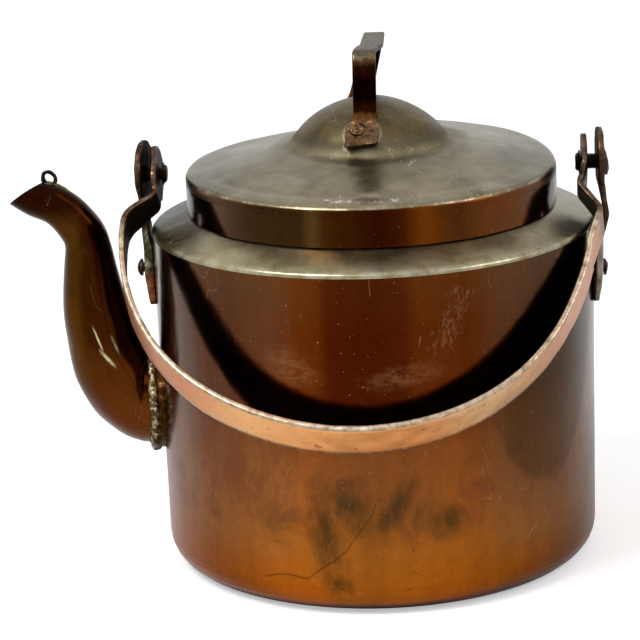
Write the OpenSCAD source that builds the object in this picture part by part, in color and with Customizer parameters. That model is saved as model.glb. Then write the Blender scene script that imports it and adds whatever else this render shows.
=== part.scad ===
// Copper kettle with a lift-off lid, a swinging bail and an S-shaped spout.
// Millimetres. The origin is the middle of the base, on the table; +Z is up,
// the spout points along -X and the bail leans on the front wall, along -Y.

/* [Body] */
// Outer diameter of the body at the shoulder
body_d = 220; // [190:1:250]
// How much narrower the body is just above its foot, across the diameter
body_taper = 3; // [0:0.5:6]
// Height of the shoulder edge above the table
shoulder_h = 170; // [155:1:180]
// Thickness of the copper sheet
sheet = 1.2; // [0.8:0.1:1.6]
// Outer radius of the rounded bottom edge
base_r = 14; // [8:0.5:20]
// Width of the shoulder, from its edge to the outside of the neck
shoulder_w = 19.6; // [17:0.2:30]
// Rise of the shoulder from its edge to the neck
shoulder_rise = 8; // [5:0.5:12]

/* [Neck and lid] */
// Height of the neck above the shoulder
neck_h = 13; // [8:0.5:16]
// Radius of the edge rolled inwards round the neck's rim
neck_roll_r = 1.3; // [1.1:0.1:2]
// Radial clearance of the lid's skirt round the neck
lid_clearance = 0.4; // [0.2:0.05:0.8]
// Height of the lid's rim above the foot of its skirt
lid_rim_h = 19.5; // [17:0.5:24]
// Depth of the turned edge where the lid's top meets the skirt
lid_turn = 5; // [4.5:0.5:7]
// Rounding of the lid's rim
lid_rim_r = 3; // [2:0.25:4]
// Rise of the lid's cone from rim to dome
lid_cone_rise = 12.5; // [8:0.5:18]
// Diameter of the dome at its foot
dome_d = 80; // [70:1:90]
// Height of the dome above its foot
dome_h = 21.5; // [18:0.5:26]
// Radius of the hollow where the cone runs into the dome
dome_fillet = 5; // [2:0.5:7]

/* [Lid handle] */
// Height of the handle's top above the top of the dome
handle_rise = 28; // [24:1:36]
// Distance between the middles of the handle's two legs
handle_span = 50; // [46:1:54]
// Width of the handle's strap
handle_w = 11.5; // [9:0.5:15]
// Width of the flattened feet of the handle
handle_foot_w = 17; // [15:0.5:20]
// Thickness of the handle's strap
handle_t = 2.5; // [2:0.1:3.5]
// How far the hand-bent handle leans to the right at its back corner
handle_skew = 4; // [0:0.5:6]
// Angle from the top of the dome to the handle's rivets
handle_rivet_angle = 40; // [36:1:44]
// Radius of the handle rivets' shank
handle_rivet_r = 2; // [1.5:0.1:2.5]

/* [Spout] */
// Height of the spout's root above the table
spout_root_h = 79; // [60:1:95]
// Outer radius of the spout where it meets the collar
spout_root_r = 21.8; // [18:0.2:25]
// How far the collar holds the spout's root off the wall
collar_depth = 3.4; // [2:0.2:5]
// Width of the step round the spout on the collar
collar_step = 2.5; // [2:0.1:4]
// Half of the spout's thickness across, as a share of half its thickness in side view
spout_flatness = 0.93; // [0.8:0.01:1]
// Radius of the wire of the ring on the spout
ring_wire_r = 0.75; // [0.5:0.05:1]
// Radius of the ring, to the middle of its wire
ring_r = 3.2; // [2.5:0.1:5]

/* [Ears and pivots] */
// Height of the bail's pivots above the shoulder edge
pivot_rise = 26.4; // [23:0.2:32]
// Gap between the body's widest radius and the inner face of the ears' eyes
ear_stand = 2; // [1.5:0.1:4]
// Thickness of the ears at their eyes
ear_t = 3; // [2.5:0.1:4]
// Radius of the ears' round eyes
ear_eye_r = 15; // [13:0.5:17]
// Width of the ears' feet
ear_foot_w = 20; // [18:0.5:24]
// Width of the ears at their waist, above the knee
ear_waist_w = 15; // [13:0.5:17]
// How far the left ear's foot reaches below its knee
left_foot_drop = 40; // [36:1:50]
// How far the right ear's foot reaches below its knee
right_foot_drop = 45; // [36:1:50]
// Radius of the ear rivets' shank
ear_rivet_r = 2.4; // [2:0.1:3]
// Radius of the ear rivets' head
ear_rivet_head_r = 4.3; // [3.8:0.1:5]
// Radius of the pivot pins in the bail's eyes
pin_r = 3; // [2.5:0.1:3.4]
// Radius of the pivot pins' collar, between ear and bail
pin_collar_r = 3.75; // [3.5:0.05:4.5]
// Radial clearance of the bail's eyes on the pins
pin_clearance = 0.08; // [0.02:0.01:0.1]

/* [Bail] */
// Gap between the ears and the bail's eyes
eye_gap = 5.3; // [4:0.1:6]
// Thickness of the bail's strap
bail_t = 2.7; // [2:0.1:3.5]
// Width of the bail's strap
bail_w = 23; // [18:0.5:26]
// Width of the strap at its waist, beside the eyes
bail_waist_w = 13; // [11:0.5:15]
// Radius of the bail's round eyes
bail_eye_r = 14; // [10:0.5:15]
// Gap between the body's widest radius and the round of the bow
bow_gap = 4.4; // [3.8:0.2:8]
// How far the hand-bent bow sits towards the spout
bow_shift = 6.6; // [4:0.2:7.2]
// Distance from the pivots to the centre of the bow
bow_drop = 41.6; // [37:0.2:50]

/* [Hidden] */
// Facets of a full circle, where nothing else is said
$fn = 96;

// Colours of the aged metals
c_body = [0.50, 0.29, 0.16];
c_patina = [0.47, 0.43, 0.36];
c_skirt = [0.36, 0.20, 0.11];
c_spout = [0.30, 0.16, 0.06];
c_solder = [0.66, 0.62, 0.52];
c_dark = [0.24, 0.20, 0.16];
c_bail = [0.86, 0.62, 0.46];

// Gap left between pieces that are soldered or riveted face to face
seat = 0.05;
left = "left";
right = "right";

// ---- paths and profiles -------------------------------------------------

function unit(v) = v / norm(v);
function reversed(p) = [for (i = [len(p) - 1 : -1 : 0]) p[i]];
function mirrored(p) = [for (q = p) [-q[0], q[1]]];
function on_axis(p) = [for (q = p) [abs(q[0]) < 0.1 ? 0 : q[0], q[1]]];
function arc(centre, r, a0, a1, steps) =
    [for (i = [0 : steps]) let (a = a0 + (a1 - a0) * i / steps)
        [centre[0] + r * cos(a), centre[1] + r * sin(a)]];

// The points that round one corner b, between a and c, with radius r
function corner(a, b, c, r, steps = 6) =
    let (u = unit(a - b), v = unit(c - b), half = acos(max(-1, min(1, u * v))) / 2)
    half > 89.5 ? [b] :
    let (cut = r / tan(half), start = b + u * cut, end = b + v * cut,
         centre = b + unit(u + v) * r / sin(half),
         a0 = atan2(start[1] - centre[1], start[0] - centre[0]),
         swing = atan2(end[1] - centre[1], end[0] - centre[0]) - a0,
         turn = swing > 180 ? swing - 360 : swing < -180 ? swing + 360 : swing)
    arc(centre, r, a0, a0 + turn, steps);

// An open path of [x, y] or [x, y, r] vertices, with each inner vertex rounded by its r
function rounded(p) =
    [for (i = [0 : len(p) - 1])
        for (q = i == 0 || i == len(p) - 1 || len(p[i]) < 3 ? [[p[i][0], p[i][1]]] :
            corner([p[i - 1][0], p[i - 1][1]], [p[i][0], p[i][1]],
                   [p[i + 1][0], p[i + 1][1]], p[i][2])) q];

// The path moved sideways by d, to its left as one walks along it
function beside(p, d) =
    [for (i = [0 : len(p) - 1])
        let (u = unit(p[min(i + 1, len(p) - 1)] - p[min(i, len(p) - 2)]),
             v = unit(p[max(i, 1)] - p[max(i - 1, 0)]),
             n = unit([-u[1] - v[1], u[0] + v[0]]))
        p[i] + n * d / max(0.5, n * [-u[1], u[0]])];

// A closed outline of thickness t round an open path
function band(p, t) = concat(beside(p, t / 2), reversed(beside(p, -t / 2)));

// A smooth curve through stations of any length, with a few steps from each to the next
function smooth(p, steps) =
    concat([for (i = [0 : len(p) - 2]) for (k = [0 : steps - 1])
        let (a = p[max(i - 1, 0)], b = p[i], c = p[i + 1], d = p[min(i + 2, len(p) - 1)],
             t = k / steps)
        0.5 * (2 * b + (c - a) * t + (2 * a - 5 * b + 4 * c - d) * pow(t, 2)
               + (3 * b - a - 3 * c + d) * pow(t, 3))], [p[len(p) - 1]]);

// ---- solids from rings of points ---------------------------------------

// Joins equal rings of points side by side; a closed stack meets itself at its end
module skin(rings, closed = false) {
    n = len(rings[0]);
    last = len(rings) - 1;
    points = [for (ring = rings) for (p = ring) p];
    sides = [for (i = [0 : closed ? last : last - 1]) for (k = [0 : n - 1])
        let (a = i * n + k, b = i * n + (k + 1) % n,
             c = ((i + 1) % (last + 1)) * n + (k + 1) % n, d = ((i + 1) % (last + 1)) * n + k)
        each [[a, b, c], [a, c, d]]];
    caps = closed ? [] : [[for (k = [n - 1 : -1 : 0]) k], [for (k = [0 : n - 1]) last * n + k]];
    polyhedron(points, concat(sides, caps));
}

// ---- body ---------------------------------------------------------------

body_r = body_d / 2;
foot_r = body_r - body_taper / 2;
pivot_h = shoulder_h + pivot_rise;
// The wall ends a little under the shoulder edge, where the shoulder's turned edge sits on it
edge_turn = 1.5;
wall_top = shoulder_h - edge_turn;

function wall_r(z) = foot_r + (body_r - foot_r) * (z - base_r) / (wall_top - base_r);

// The wall's outside as a solid, grown sideways
module wall_form(grow = 0) {
    low = -0.1 * pivot_h;
    high = 1.3 * pivot_h;
    translate([0, 0, low])
        cylinder(h = high - low, r1 = wall_r(low) + grow, r2 = wall_r(high) + grow, $fn = 128);
}

module base_pan() {
    path = rounded([[0, sheet / 2], [foot_r - sheet / 2, sheet / 2, base_r - sheet / 2],
                    [foot_r - sheet / 2, base_r]]);
    color(c_body) rotate_extrude() polygon(on_axis(band(path, sheet)));
}

module body_wall() {
    color(c_body) difference() {
        rotate_extrude()
            polygon([[foot_r - sheet, base_r + seat], [foot_r, base_r + seat], [body_r, wall_top],
                     [body_r - sheet, wall_top]]);
        translate([-body_r, 0, spout_root_h]) rotate([0, 90, 0])
            cylinder(h = 4 * collar_depth, r = spout_root_r - sheet, center = true);
        ear_rivet_hole(left, seat);
        ear_rivet_hole(right, seat);
    }
}

// Middle of the shoulder's sheet at the edge and at the neck
neck_d = body_d - 2 * shoulder_w;
shoulder_mid_r = body_r - sheet / 2;
neck_mid_r = (neck_d - sheet) / 2;
neck_foot_h = shoulder_h + shoulder_rise;
neck_top = neck_foot_h + neck_h;

module shoulder_neck() {
    edge_r = 1.2;
    bend_r = 0.98 * neck_roll_r;
    roll_in = neck_mid_r - 2 * neck_roll_r;
    path = rounded([[shoulder_mid_r, wall_top], [shoulder_mid_r, shoulder_h, edge_r],
                    [neck_mid_r, neck_foot_h, edge_r], [neck_mid_r, neck_top, bend_r],
                    [roll_in, neck_top, bend_r], [roll_in, neck_top - 1.6 * neck_roll_r]]);
    color(c_patina) rotate_extrude() polygon(band(path, sheet));
}

// ---- spout --------------------------------------------------------------

spout_wall_r = wall_r(spout_root_h);
collar_face_r = spout_wall_r + collar_depth;
spout_sides = 28;

// Stations up the spout: [out from the collar's face, up from the root's middle,
// direction of the tube, half its thickness in side view]
spout_stations = [
    [ 5.5,   0.5, 176, spout_root_r + 0.3],
    [11.5,   5.5, 158, spout_root_r + 1.2],
    [18.5,  14.0, 144, spout_root_r + 0.6],
    [24.0,  26.5, 129, 20.4],
    [27.4,  42.5, 116, 17.8],
    [29.4,  55.0, 108, 15.9],
    [30.8,  67.0, 105, 13.8],
    [31.8,  78.0, 105, 11.6],
    [33.2,  87.5, 116, 10.3],
    [37.6,  94.8, 133, 10.1],
    [43.8, 101.4, 136,  9.9],
    [51.2, 105.9, 133, 10.3],
    [59.7, 109.4, 122, 10.6]
];
// Half the mouth's width across
mouth_half_w = 8.8;

// One ring of the spout at a station, with its radius shrunk by the sheet for the inside
function spout_ring_at(s, shrink) =
    let (top = len(spout_stations) - 1, up = s[2] - 90, r = s[3] - shrink,
         across = r * lookup(s[1], [[0, 1], [30, spout_flatness], [100, spout_flatness],
             [spout_stations[top][1], mouth_half_w / spout_stations[top][3]]]))
    [for (k = [0 : spout_sides - 1]) let (a = 360 * k / spout_sides)
        [-collar_face_r - s[0] + r * cos(a) * cos(up), across * sin(a),
         spout_root_h + s[1] + r * cos(a) * sin(up)]];

// The first ring lies on the face of the collar, which follows the wall
function spout_root_ring(r) =
    [for (k = [0 : spout_sides - 1])
        let (a = 360 * k / spout_sides, y = r * sin(a), z = spout_root_h + r * cos(a),
             face = wall_r(z) + collar_depth + seat)
        [-sqrt(pow(face, 2) - pow(y, 2)), y, z]];

spout_path = smooth(spout_stations, 2);

module spout() {
    outside = concat([spout_root_ring(spout_root_r)],
                     [for (s = spout_path) spout_ring_at(s, 0)]);
    inside = concat([spout_root_ring(spout_root_r - sheet)],
                    [for (s = spout_path) spout_ring_at(s, sheet)]);
    color(c_spout) skin(concat(outside, reversed(inside)), closed = true);
}

module spout_collar() {
    color(c_spout) difference() {
        intersection() {
            wall_form(collar_depth);
            translate([-body_r, 0, spout_root_h]) rotate([0, 90, 0])
                cylinder(h = 0.5 * body_r, r = spout_root_r + collar_step, center = true);
        }
        wall_form(seat);
        translate([-body_r, 0, spout_root_h]) rotate([0, 90, 0])
            cylinder(h = 0.6 * body_r, r = spout_root_r - sheet, center = true);
    }
}

// A lumpy bead of solder in the corner between spout and collar
module spout_solder() {
    lumps = 48;
    sides = 8;
    bead_r = collar_step / 2 - 2 * seat;
    rings = [for (i = [0 : lumps - 1])
        let (a = 360 * i / lumps,
             r = bead_r * (0.86 + 0.09 * sin(5 * a + 40) + 0.05 * sin(11 * a)),
             ring_mid = spout_root_r + 5 * seat + bead_r,
             z = spout_root_h + ring_mid * cos(a), y = ring_mid * sin(a),
             x = -sqrt(pow(wall_r(z) + collar_depth, 2) - pow(y, 2)) - bead_r - seat)
        [for (k = [0 : sides - 1]) let (b = 360 * k / sides)
            [x + r * cos(b), y + r * sin(b) * sin(a), z + r * sin(b) * cos(a)]]];
    color(c_solder) skin(rings, closed = true);
}

// The highest point [x, z] of the spout at a station
function spout_ridge(s) = [-collar_face_r - s[0] + s[3] * cos(s[2] - 90),
                           spout_root_h + s[1] + s[3] * sin(s[2] - 90)];

// A small wire ring that stands on top of the spout, just behind the mouth
module spout_ring() {
    last = len(spout_path) - 1;
    ridge = [for (i = [last : -1 : last - 4]) spout_ridge(spout_path[i]) + [0, seat]];
    color(c_dark) difference() {
        translate([ridge[0][0] + ring_r, 0, ridge[0][1] + ring_r - ring_wire_r])
            rotate([90, 0, 0]) rotate_extrude($fn = 48)
                translate([ring_r, 0]) circle(ring_wire_r, $fn = 16);
        rotate([90, 0, 0]) linear_extrude(height = 8 * ring_wire_r, center = true)
            polygon(concat(ridge, [ridge[4] - [0, 4 * ring_r], ridge[0] - [0, 4 * ring_r]]));
    }
}

// ---- ears ---------------------------------------------------------------

ear_inner_x = body_r + ear_stand;
ear_outer_x = ear_inner_x + ear_t;
knee_h = shoulder_h + 1;
// The rivet sits this far above the lower end of the foot
rivet_above_foot = 0.875 * ear_foot_w;

// The two ears were forged by eye, and their feet and knees differ
function foot_h(side) = knee_h - (side == left ? left_foot_drop : right_foot_drop);
function foot_face_x(side) = body_r + (side == left ? 1.4 : 1.73) * ear_t;
function knee_out(side) = (side == left ? 0.2 : 0.8) * ear_t;
function rivet_head_out(side) = (side == left ? 0.93 : 0.51) * ear_rivet_head_r;
function ear_rivet_h(side) = foot_h(side) + rivet_above_foot;

module on_side(side) {
    if (side == left) mirror([1, 0, 0]) children();
    else children();
}

// A round bar along X, from x0 to x1, at height z
module bar_x(x0, x1, z, r) {
    translate([x0, 0, z]) rotate([0, 90, 0]) cylinder(h = x1 - x0, r = r, $fn = 48);
}

module ear_rivet_hole(side, gap) {
    on_side(side) bar_x(0.8 * body_r, 1.2 * body_r, ear_rivet_h(side), ear_rivet_r + gap);
}

// The ear seen along Y: a tapered foot, a knee over the shoulder and an upright eye
module ear_profile(side) {
    low = foot_h(side);
    face_x = foot_face_x(side);
    knee_x = face_x + knee_out(side);
    w = ear_foot_w;
    eye_top = pivot_h + 1.3 * ear_eye_r;
    outer = rounded([[body_r + 0.53 * ear_t, low], [face_x - 0.53 * ear_t, low + 0.2 * w, 0.1 * w],
                     [face_x, low + 0.625 * w, 0.3 * w], [face_x + 2 * seat, knee_h - 0.6 * w, 0.4 * w],
                     [knee_x, knee_h, ear_t], [ear_outer_x, pivot_h - 0.53 * ear_eye_r, ear_eye_r],
                     [ear_outer_x, eye_top]]);
    inner = rounded([[foot_r - ear_t, low], [foot_r - ear_t, knee_h - 0.7 * w],
                     [body_r + 0.2 * ear_t, knee_h - 0.35 * w, 0.2 * w],
                     [knee_x - ear_t, knee_h + 0.1 * w, ear_t],
                     [ear_inner_x, pivot_h - 0.67 * ear_eye_r, ear_eye_r], [ear_inner_x, eye_top]]);
    polygon(concat(outer, reversed(inner)));
}

// The ear seen along X: a rounded foot, a waist and a round eye round the pin
module ear_face(low) {
    w = ear_foot_w;
    half = rounded([[0, low], [w / 2, low, 0.25 * w], [0.475 * w, knee_h - 0.4 * w, 0.7 * w],
                    [ear_waist_w / 2, knee_h + 0.2 * w, 0.7 * w],
                    [0.57 * ear_waist_w, pivot_h - 0.4 * ear_eye_r], [0, pivot_h]]);
    polygon(concat(half, reversed(mirrored(half))));
    translate([0, pivot_h + 0.13 * ear_eye_r]) circle(ear_eye_r);
}

module ear(side) {
    color(c_dark) on_side(side) difference() {
        intersection() {
            rotate([90, 0, 0]) linear_extrude(height = 4 * ear_eye_r, center = true)
                ear_profile(side);
            translate([0.8 * body_r, 0, 0]) rotate([90, 0, 90]) linear_extrude(height = 0.4 * body_r)
                ear_face(foot_h(side));
        }
        wall_form(seat);
        bar_x(0.8 * body_r, 1.2 * body_r, ear_rivet_h(side), ear_rivet_r + seat);
        bar_x(0.8 * body_r, 1.2 * body_r, pivot_h, pin_r + seat);
    }
}

module left_ear() { ear(left); }
module right_ear() { ear(right); }

// A domed head seen from the side: half its outline, r across and h high
function dome_outline(r, h) = [for (i = [0 : 6]) [h * sin(15 * i), r * cos(15 * i)]];

burr_t = 0.9;
burr_r = 5.2;
tail_h = 1.1;

// Where the flat face of the burr at height h meets the inside of the round wall
function burr_face_x(h) = sqrt(pow(wall_r(h - burr_r) - sheet, 2) - pow(burr_r, 2)) - seat;

// Solid of revolution about the X axis from [x, radius] points
module turned_x(points, z) {
    translate([0, 0, z]) rotate([0, 90, 0]) rotate_extrude($fn = 48)
        polygon([for (p = points) [p[1], p[0]]]);
}

module ear_rivet(side) {
    h = ear_rivet_h(side);
    head_x = foot_face_x(side) + 0.1 + seat;
    tail_x = burr_face_x(h) - seat - burr_t;
    color(c_dark) on_side(side) turned_x(concat(
        [[tail_x - tail_h, 0], [tail_x - tail_h, ear_rivet_r], [tail_x - 0.4, ear_rivet_r + 1.2],
         [tail_x, ear_rivet_r + 1.2], [tail_x, ear_rivet_r], [head_x, ear_rivet_r]],
        [for (p = dome_outline(ear_rivet_head_r, rivet_head_out(side)))
            [head_x + p[0], abs(p[1]) < 0.01 ? 0 : p[1]]]), h);
}

module left_ear_rivet() { ear_rivet(left); }
module right_ear_rivet() { ear_rivet(right); }

// The washer that each ear rivet is closed over, inside the wall
module rivet_burr(side) {
    h = ear_rivet_h(side);
    face_x = burr_face_x(h);
    color(c_body) on_side(side) difference() {
        bar_x(face_x - burr_t, face_x, h, burr_r);
        bar_x(face_x - 2 * burr_t, face_x + burr_t, h, ear_rivet_r + seat);
    }
}

module left_rivet_burr() { rivet_burr(left); }
module right_rivet_burr() { rivet_burr(right); }

// ---- pivots -------------------------------------------------------------

// Play of the bail's eyes along the pins, on each side
end_play = 0.3;
bail_outer_x = ear_inner_x - eye_gap;
bail_inner_x = bail_outer_x - bail_t;
washer_t = 0.8;
washer_r = 5.6;
pin_tail_h = 1.5;
pin_tail_r = 4.5;
pin_head_r = 7;

module pivot_pin(side, head_h) {
    washer_x = bail_inner_x - end_play;
    tail_x = washer_x - washer_t - seat;
    head_x = ear_outer_x + seat;
    color(c_dark) on_side(side) turned_x(
        [[tail_x - pin_tail_h, 0], [tail_x - pin_tail_h, pin_tail_r - 0.8],
         [tail_x - pin_tail_h + 0.8, pin_tail_r], [tail_x, pin_tail_r], [tail_x, pin_r],
         [bail_outer_x + end_play, pin_r], [bail_outer_x + end_play, pin_collar_r],
         [ear_inner_x - seat, pin_collar_r], [ear_inner_x - seat, pin_r], [head_x, pin_r],
         [head_x, pin_head_r], [head_x + 0.3 * head_h, pin_head_r],
         [head_x + head_h, 0.55 * pin_head_r], [head_x + head_h, 0]], pivot_h);
}

module left_pivot_pin() { pivot_pin(left, 1.3); }
module right_pivot_pin() { pivot_pin(right, 3.9); }

module pivot_washer(side) {
    washer_x = bail_inner_x - end_play;
    color(c_dark) on_side(side) difference() {
        bar_x(washer_x - washer_t, washer_x, pivot_h, washer_r);
        bar_x(washer_x - 2 * washer_t, washer_x + washer_t, pivot_h, pin_r + seat);
    }
}

module left_pivot_washer() { pivot_washer(left); }
module right_pivot_washer() { pivot_washer(right); }

// ---- bail ---------------------------------------------------------------

bail_eye_x = bail_outer_x - bail_t / 2;
bow_r = body_r + bow_gap;
bow_mid_r = bow_r + bail_t / 2;
bow_centre = [-bow_shift, bow_drop];
bow_reach = bow_drop + bow_r;
// Where the right leg leaves the round of the bow
bow_end_angle = 8;
// Gap that keeps the resting bail just off the wall
rest_gap = 0.35;

// The bail tips until the lower inner edge of its bow meets the wall somewhere round the bow
function edge_gap(a, lean) =
    let (p = bow_centre + bow_r * [cos(a), sin(a)], y = p[1] * cos(lean) - bail_w / 2 * sin(lean),
         z = pivot_h - p[1] * sin(lean) - bail_w / 2 * cos(lean))
    norm([p[0], y]) - wall_r(z);
function least_gap(lean) = min([for (a = [30 : 2 : 150]) edge_gap(a, lean)]);
function lean_between(low, high, tries) =
    let (middle = (low + high) / 2)
    tries == 0 ? low :
    least_gap(middle) > rest_gap ? lean_between(middle, high, tries - 1)
                                 : lean_between(low, middle, tries - 1);
bail_lean = lean_between(15, 65, 24);

// Middle line of the strap in the bail's own plane: [along X, away from the pivots].
// Each end steps out from its eye, round the ear, before it joins the bow.
bail_path = concat(
    rounded([[-bail_eye_x, -1.1 * bail_eye_r], [-bail_eye_x, 1.25 * bail_eye_r, 6],
             [-bow_mid_r - bow_shift + 1, 0.72 * bow_drop, 13],
             [-bow_mid_r - bow_shift, 0.99 * bow_drop]]),
    arc(bow_centre, bow_mid_r, 180, bow_end_angle, 48),
    rounded([[-bow_shift + bow_mid_r * cos(bow_end_angle + 1),
              bow_centre[1] + bow_mid_r * sin(bow_end_angle - 1)],
             [bail_eye_x + 7, 0.81 * bow_drop, 8], [bail_eye_x - 4.1, 1.19 * bail_eye_r, 6],
             [bail_eye_x, washer_r + 1, 5],
             [bail_eye_x, -1.1 * bail_eye_r]]));

// The strap seen along X: round eyes, a waist, then the full width
eye_mouth_angle = asin(bail_waist_w / 2 / bail_eye_r);
module bail_face() {
    half = concat(
        arc([0, 0], bail_eye_r, 180, eye_mouth_angle + 12, 20),
        rounded([bail_eye_r * [cos(eye_mouth_angle + 10), sin(eye_mouth_angle + 10)],
                 [bail_eye_r * cos(eye_mouth_angle) + 1, bail_waist_w / 2, 4],
                 [0.58 * bow_drop, bail_waist_w / 2, 24], [1.1 * bow_drop, bail_w / 2, 24],
                 [1.2 * bow_reach, bail_w / 2]]));
    polygon(concat(half, reversed([for (p = half) if (p[1] > 0.01) [p[0], -p[1]]])));
}

module bail() {
    color(c_bail) translate([0, 0, pivot_h]) rotate([180 + bail_lean, 0, 0]) difference() {
        intersection() {
            linear_extrude(height = 2 * bail_w, center = true) polygon(band(bail_path, bail_t));
            translate([-2 * body_r, 0, 0]) rotate([90, 0, 90])
                linear_extrude(height = 4 * body_r) bail_face();
        }
        bar_x(-2 * body_r, 2 * body_r, 0, pin_r + pin_clearance);
    }
}

// ---- lid ----------------------------------------------------------------

skirt_inner_r = neck_d / 2 + lid_clearance;
lid_r = skirt_inner_r + sheet;
// Gap that keeps the resting lid just off the shoulder
lid_gap = 0.3;
shoulder_slope = shoulder_rise / (shoulder_mid_r - neck_mid_r);
skirt_foot_h = shoulder_h + (shoulder_mid_r - skirt_inner_r) * shoulder_slope
    + sheet / 2 * norm([1, shoulder_slope]) + lid_gap;
rim_h = skirt_foot_h + lid_rim_h;
skirt_top = rim_h - lid_turn;
dome_foot_h = rim_h + lid_cone_rise;
dome_r = (pow(dome_d / 2, 2) + pow(dome_h, 2)) / (2 * dome_h);
dome_centre_h = dome_foot_h + dome_h - dome_r;
dome_top = dome_centre_h + dome_r;

module lid_skirt() {
    color(c_skirt) rotate_extrude()
        translate([skirt_inner_r, skirt_foot_h]) square([sheet, skirt_top - skirt_foot_h]);
}

// The handle's back foot sits this many degrees round the dome from straight behind
back_turn = -11;
function rivet_turn(place) = place == "front" ? 0 : 180 - back_turn;

module at_rivet(place) {
    translate([0, 0, dome_centre_h]) rotate([0, 0, rivet_turn(place)])
        rotate([handle_rivet_angle, 0, 0]) children();
}

module lid_top() {
    mid_r = lid_r - sheet / 2;
    mid_dome_r = dome_r - sheet / 2;
    foot_angle = asin((dome_foot_h - dome_centre_h) / dome_r);
    path = concat(
        rounded([[mid_r, skirt_top], [mid_r, rim_h - sheet / 2, lid_rim_r],
                 [dome_d / 2, dome_foot_h - sheet / 2, dome_fillet],
                 [mid_dome_r * cos(foot_angle + 12), dome_centre_h + mid_dome_r * sin(foot_angle + 12)]]),
        [for (i = [1 : 12]) let (a = foot_angle + 12 + (78 - foot_angle) * i / 12)
            [mid_dome_r * cos(a), dome_centre_h + mid_dome_r * sin(a)]]);
    color(c_patina) difference() {
        rotate_extrude() polygon(on_axis(band(path, sheet)));
        for (place = ["front", "back"]) at_rivet(place)
            cylinder(h = 2 * dome_r, r = handle_rivet_r + seat, $fn = 32);
    }
}

// ---- lid handle ---------------------------------------------------------

// The foot's mid-plane lies this far from the dome's centre
foot_plane = dome_r + seat + handle_t / 2;
foot_down = 9.5;
foot_up = 5.5;
// [along Y, up] of a point on the foot's line, s further down the dome than the rivet
function foot_at(s) = [
    -foot_plane * sin(handle_rivet_angle) - s * cos(handle_rivet_angle),
    dome_centre_h + foot_plane * cos(handle_rivet_angle) - s * sin(handle_rivet_angle)];

handle_top_h = dome_top + handle_rise - handle_t / 2;
handle_half = rounded([foot_at(foot_down), concat(foot_at(-foot_up), [4]),
                       [-handle_span / 2, handle_top_h, 4], [0, handle_top_h]]);
handle_line = concat(handle_half, reversed(mirrored([for (i = [0 : len(handle_half) - 2]) handle_half[i]])));
function run(p, i) = i == 0 ? 0 : run(p, i - 1) + norm(p[i] - p[i - 1]);
handle_length = run(handle_line, len(handle_line) - 1);

// Half the strap's width, s along it: rounded wide feet and an even strap between
function handle_half_w(s) =
    let (e = min(s, handle_length - s), foot = foot_down + foot_up)
    lookup(e, [[0, 0.32 * handle_foot_w], [2, 0.46 * handle_foot_w], [4.5, handle_foot_w / 2],
               [foot - 1, 0.45 * handle_foot_w], [foot + 5, handle_w / 2]]);

// How far the strap is shifted along X and turned, s along it
function handle_shift(s) =
    lookup(s, [[0, -1.6], [20, -0.8], [55, -0.5], [0.5 * handle_length + 25, handle_skew],
               [handle_length - 14, back_foot_x(-foot_up)], [handle_length, back_foot_x(foot_down)]]);
function handle_turn(s) =
    lookup(s, [[0, 0], [0.5 * handle_length + 25, 0], [handle_length - 16, -back_turn],
               [handle_length, -back_turn]]);
function back_foot_x(s) = foot_at(s)[0] * sin(-back_turn);

module lid_handle() {
    rings = [for (i = [0 : len(handle_line) - 1])
        let (s = run(handle_line, i), last = len(handle_line) - 1, turn = handle_turn(s),
             along = unit(handle_line[min(i + 1, last)] - handle_line[max(i - 1, 0)]),
             y = s > 0.5 * handle_length ? handle_line[i][0] * cos(turn) : handle_line[i][0],
             mid = [handle_shift(s), y, handle_line[i][1]],
             w = handle_half_w(s) * [cos(turn), sin(turn), 0],
             n = handle_t / 2 * [along[1] * sin(turn), -along[1] * cos(turn), along[0]])
        [mid - w + n, mid + w + n, mid + w - n, mid - w - n]];
    color(c_dark) difference() {
        skin(rings);
        for (place = ["front", "back"]) at_rivet(place)
            cylinder(h = 2 * dome_r, r = handle_rivet_r + seat, $fn = 32);
    }
}

// How far from the dome's centre the flat face of a burr meets the inside of the dome
burr_face = sqrt(pow(dome_r - sheet, 2) - pow(burr_r, 2)) - 3 * seat;

module handle_rivet(place) {
    head_h = dome_r + 2 * seat + handle_t;
    tail_h0 = burr_face - burr_t - seat;
    color(c_dark) at_rivet(place) rotate_extrude($fn = 40) polygon(concat(
        [[0, tail_h0 - 1], [handle_rivet_r + 0.4, tail_h0 - 1], [handle_rivet_r + 1, tail_h0],
         [handle_rivet_r, tail_h0], [handle_rivet_r, head_h]],
        [for (p = dome_outline(3.7, 1.9)) [abs(p[1]) < 0.01 ? 0 : p[1], head_h + p[0]]]));
}

module front_handle_rivet() { handle_rivet("front"); }
module back_handle_rivet() { handle_rivet("back"); }

// The washer that each handle rivet is closed over, inside the dome
module handle_burr(place) {
    color(c_body) at_rivet(place) difference() {
        translate([0, 0, burr_face - burr_t]) cylinder(h = burr_t, r = burr_r, $fn = 40);
        translate([0, 0, burr_face - 2 * burr_t])
            cylinder(h = 3 * burr_t, r = handle_rivet_r + seat, $fn = 32);
    }
}

module front_handle_burr() { handle_burr("front"); }
module back_handle_burr() { handle_burr("back"); }

base_pan();
body_wall();
shoulder_neck();
spout_collar();
spout();
spout_solder();
spout_ring();
left_ear();
right_ear();
left_ear_rivet();
right_ear_rivet();
left_rivet_burr();
right_rivet_burr();
left_pivot_pin();
right_pivot_pin();
left_pivot_washer();
right_pivot_washer();
bail();
lid_skirt();
lid_top();
lid_handle();
front_handle_rivet();
back_handle_rivet();
front_handle_burr();
back_handle_burr();
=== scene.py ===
"""Looks of the copper kettle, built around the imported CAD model. Lengths in the code are in millimetres."""

import math

import bmesh
import bpy
import numpy as np
from mathutils import Matrix, Vector, noise


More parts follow.
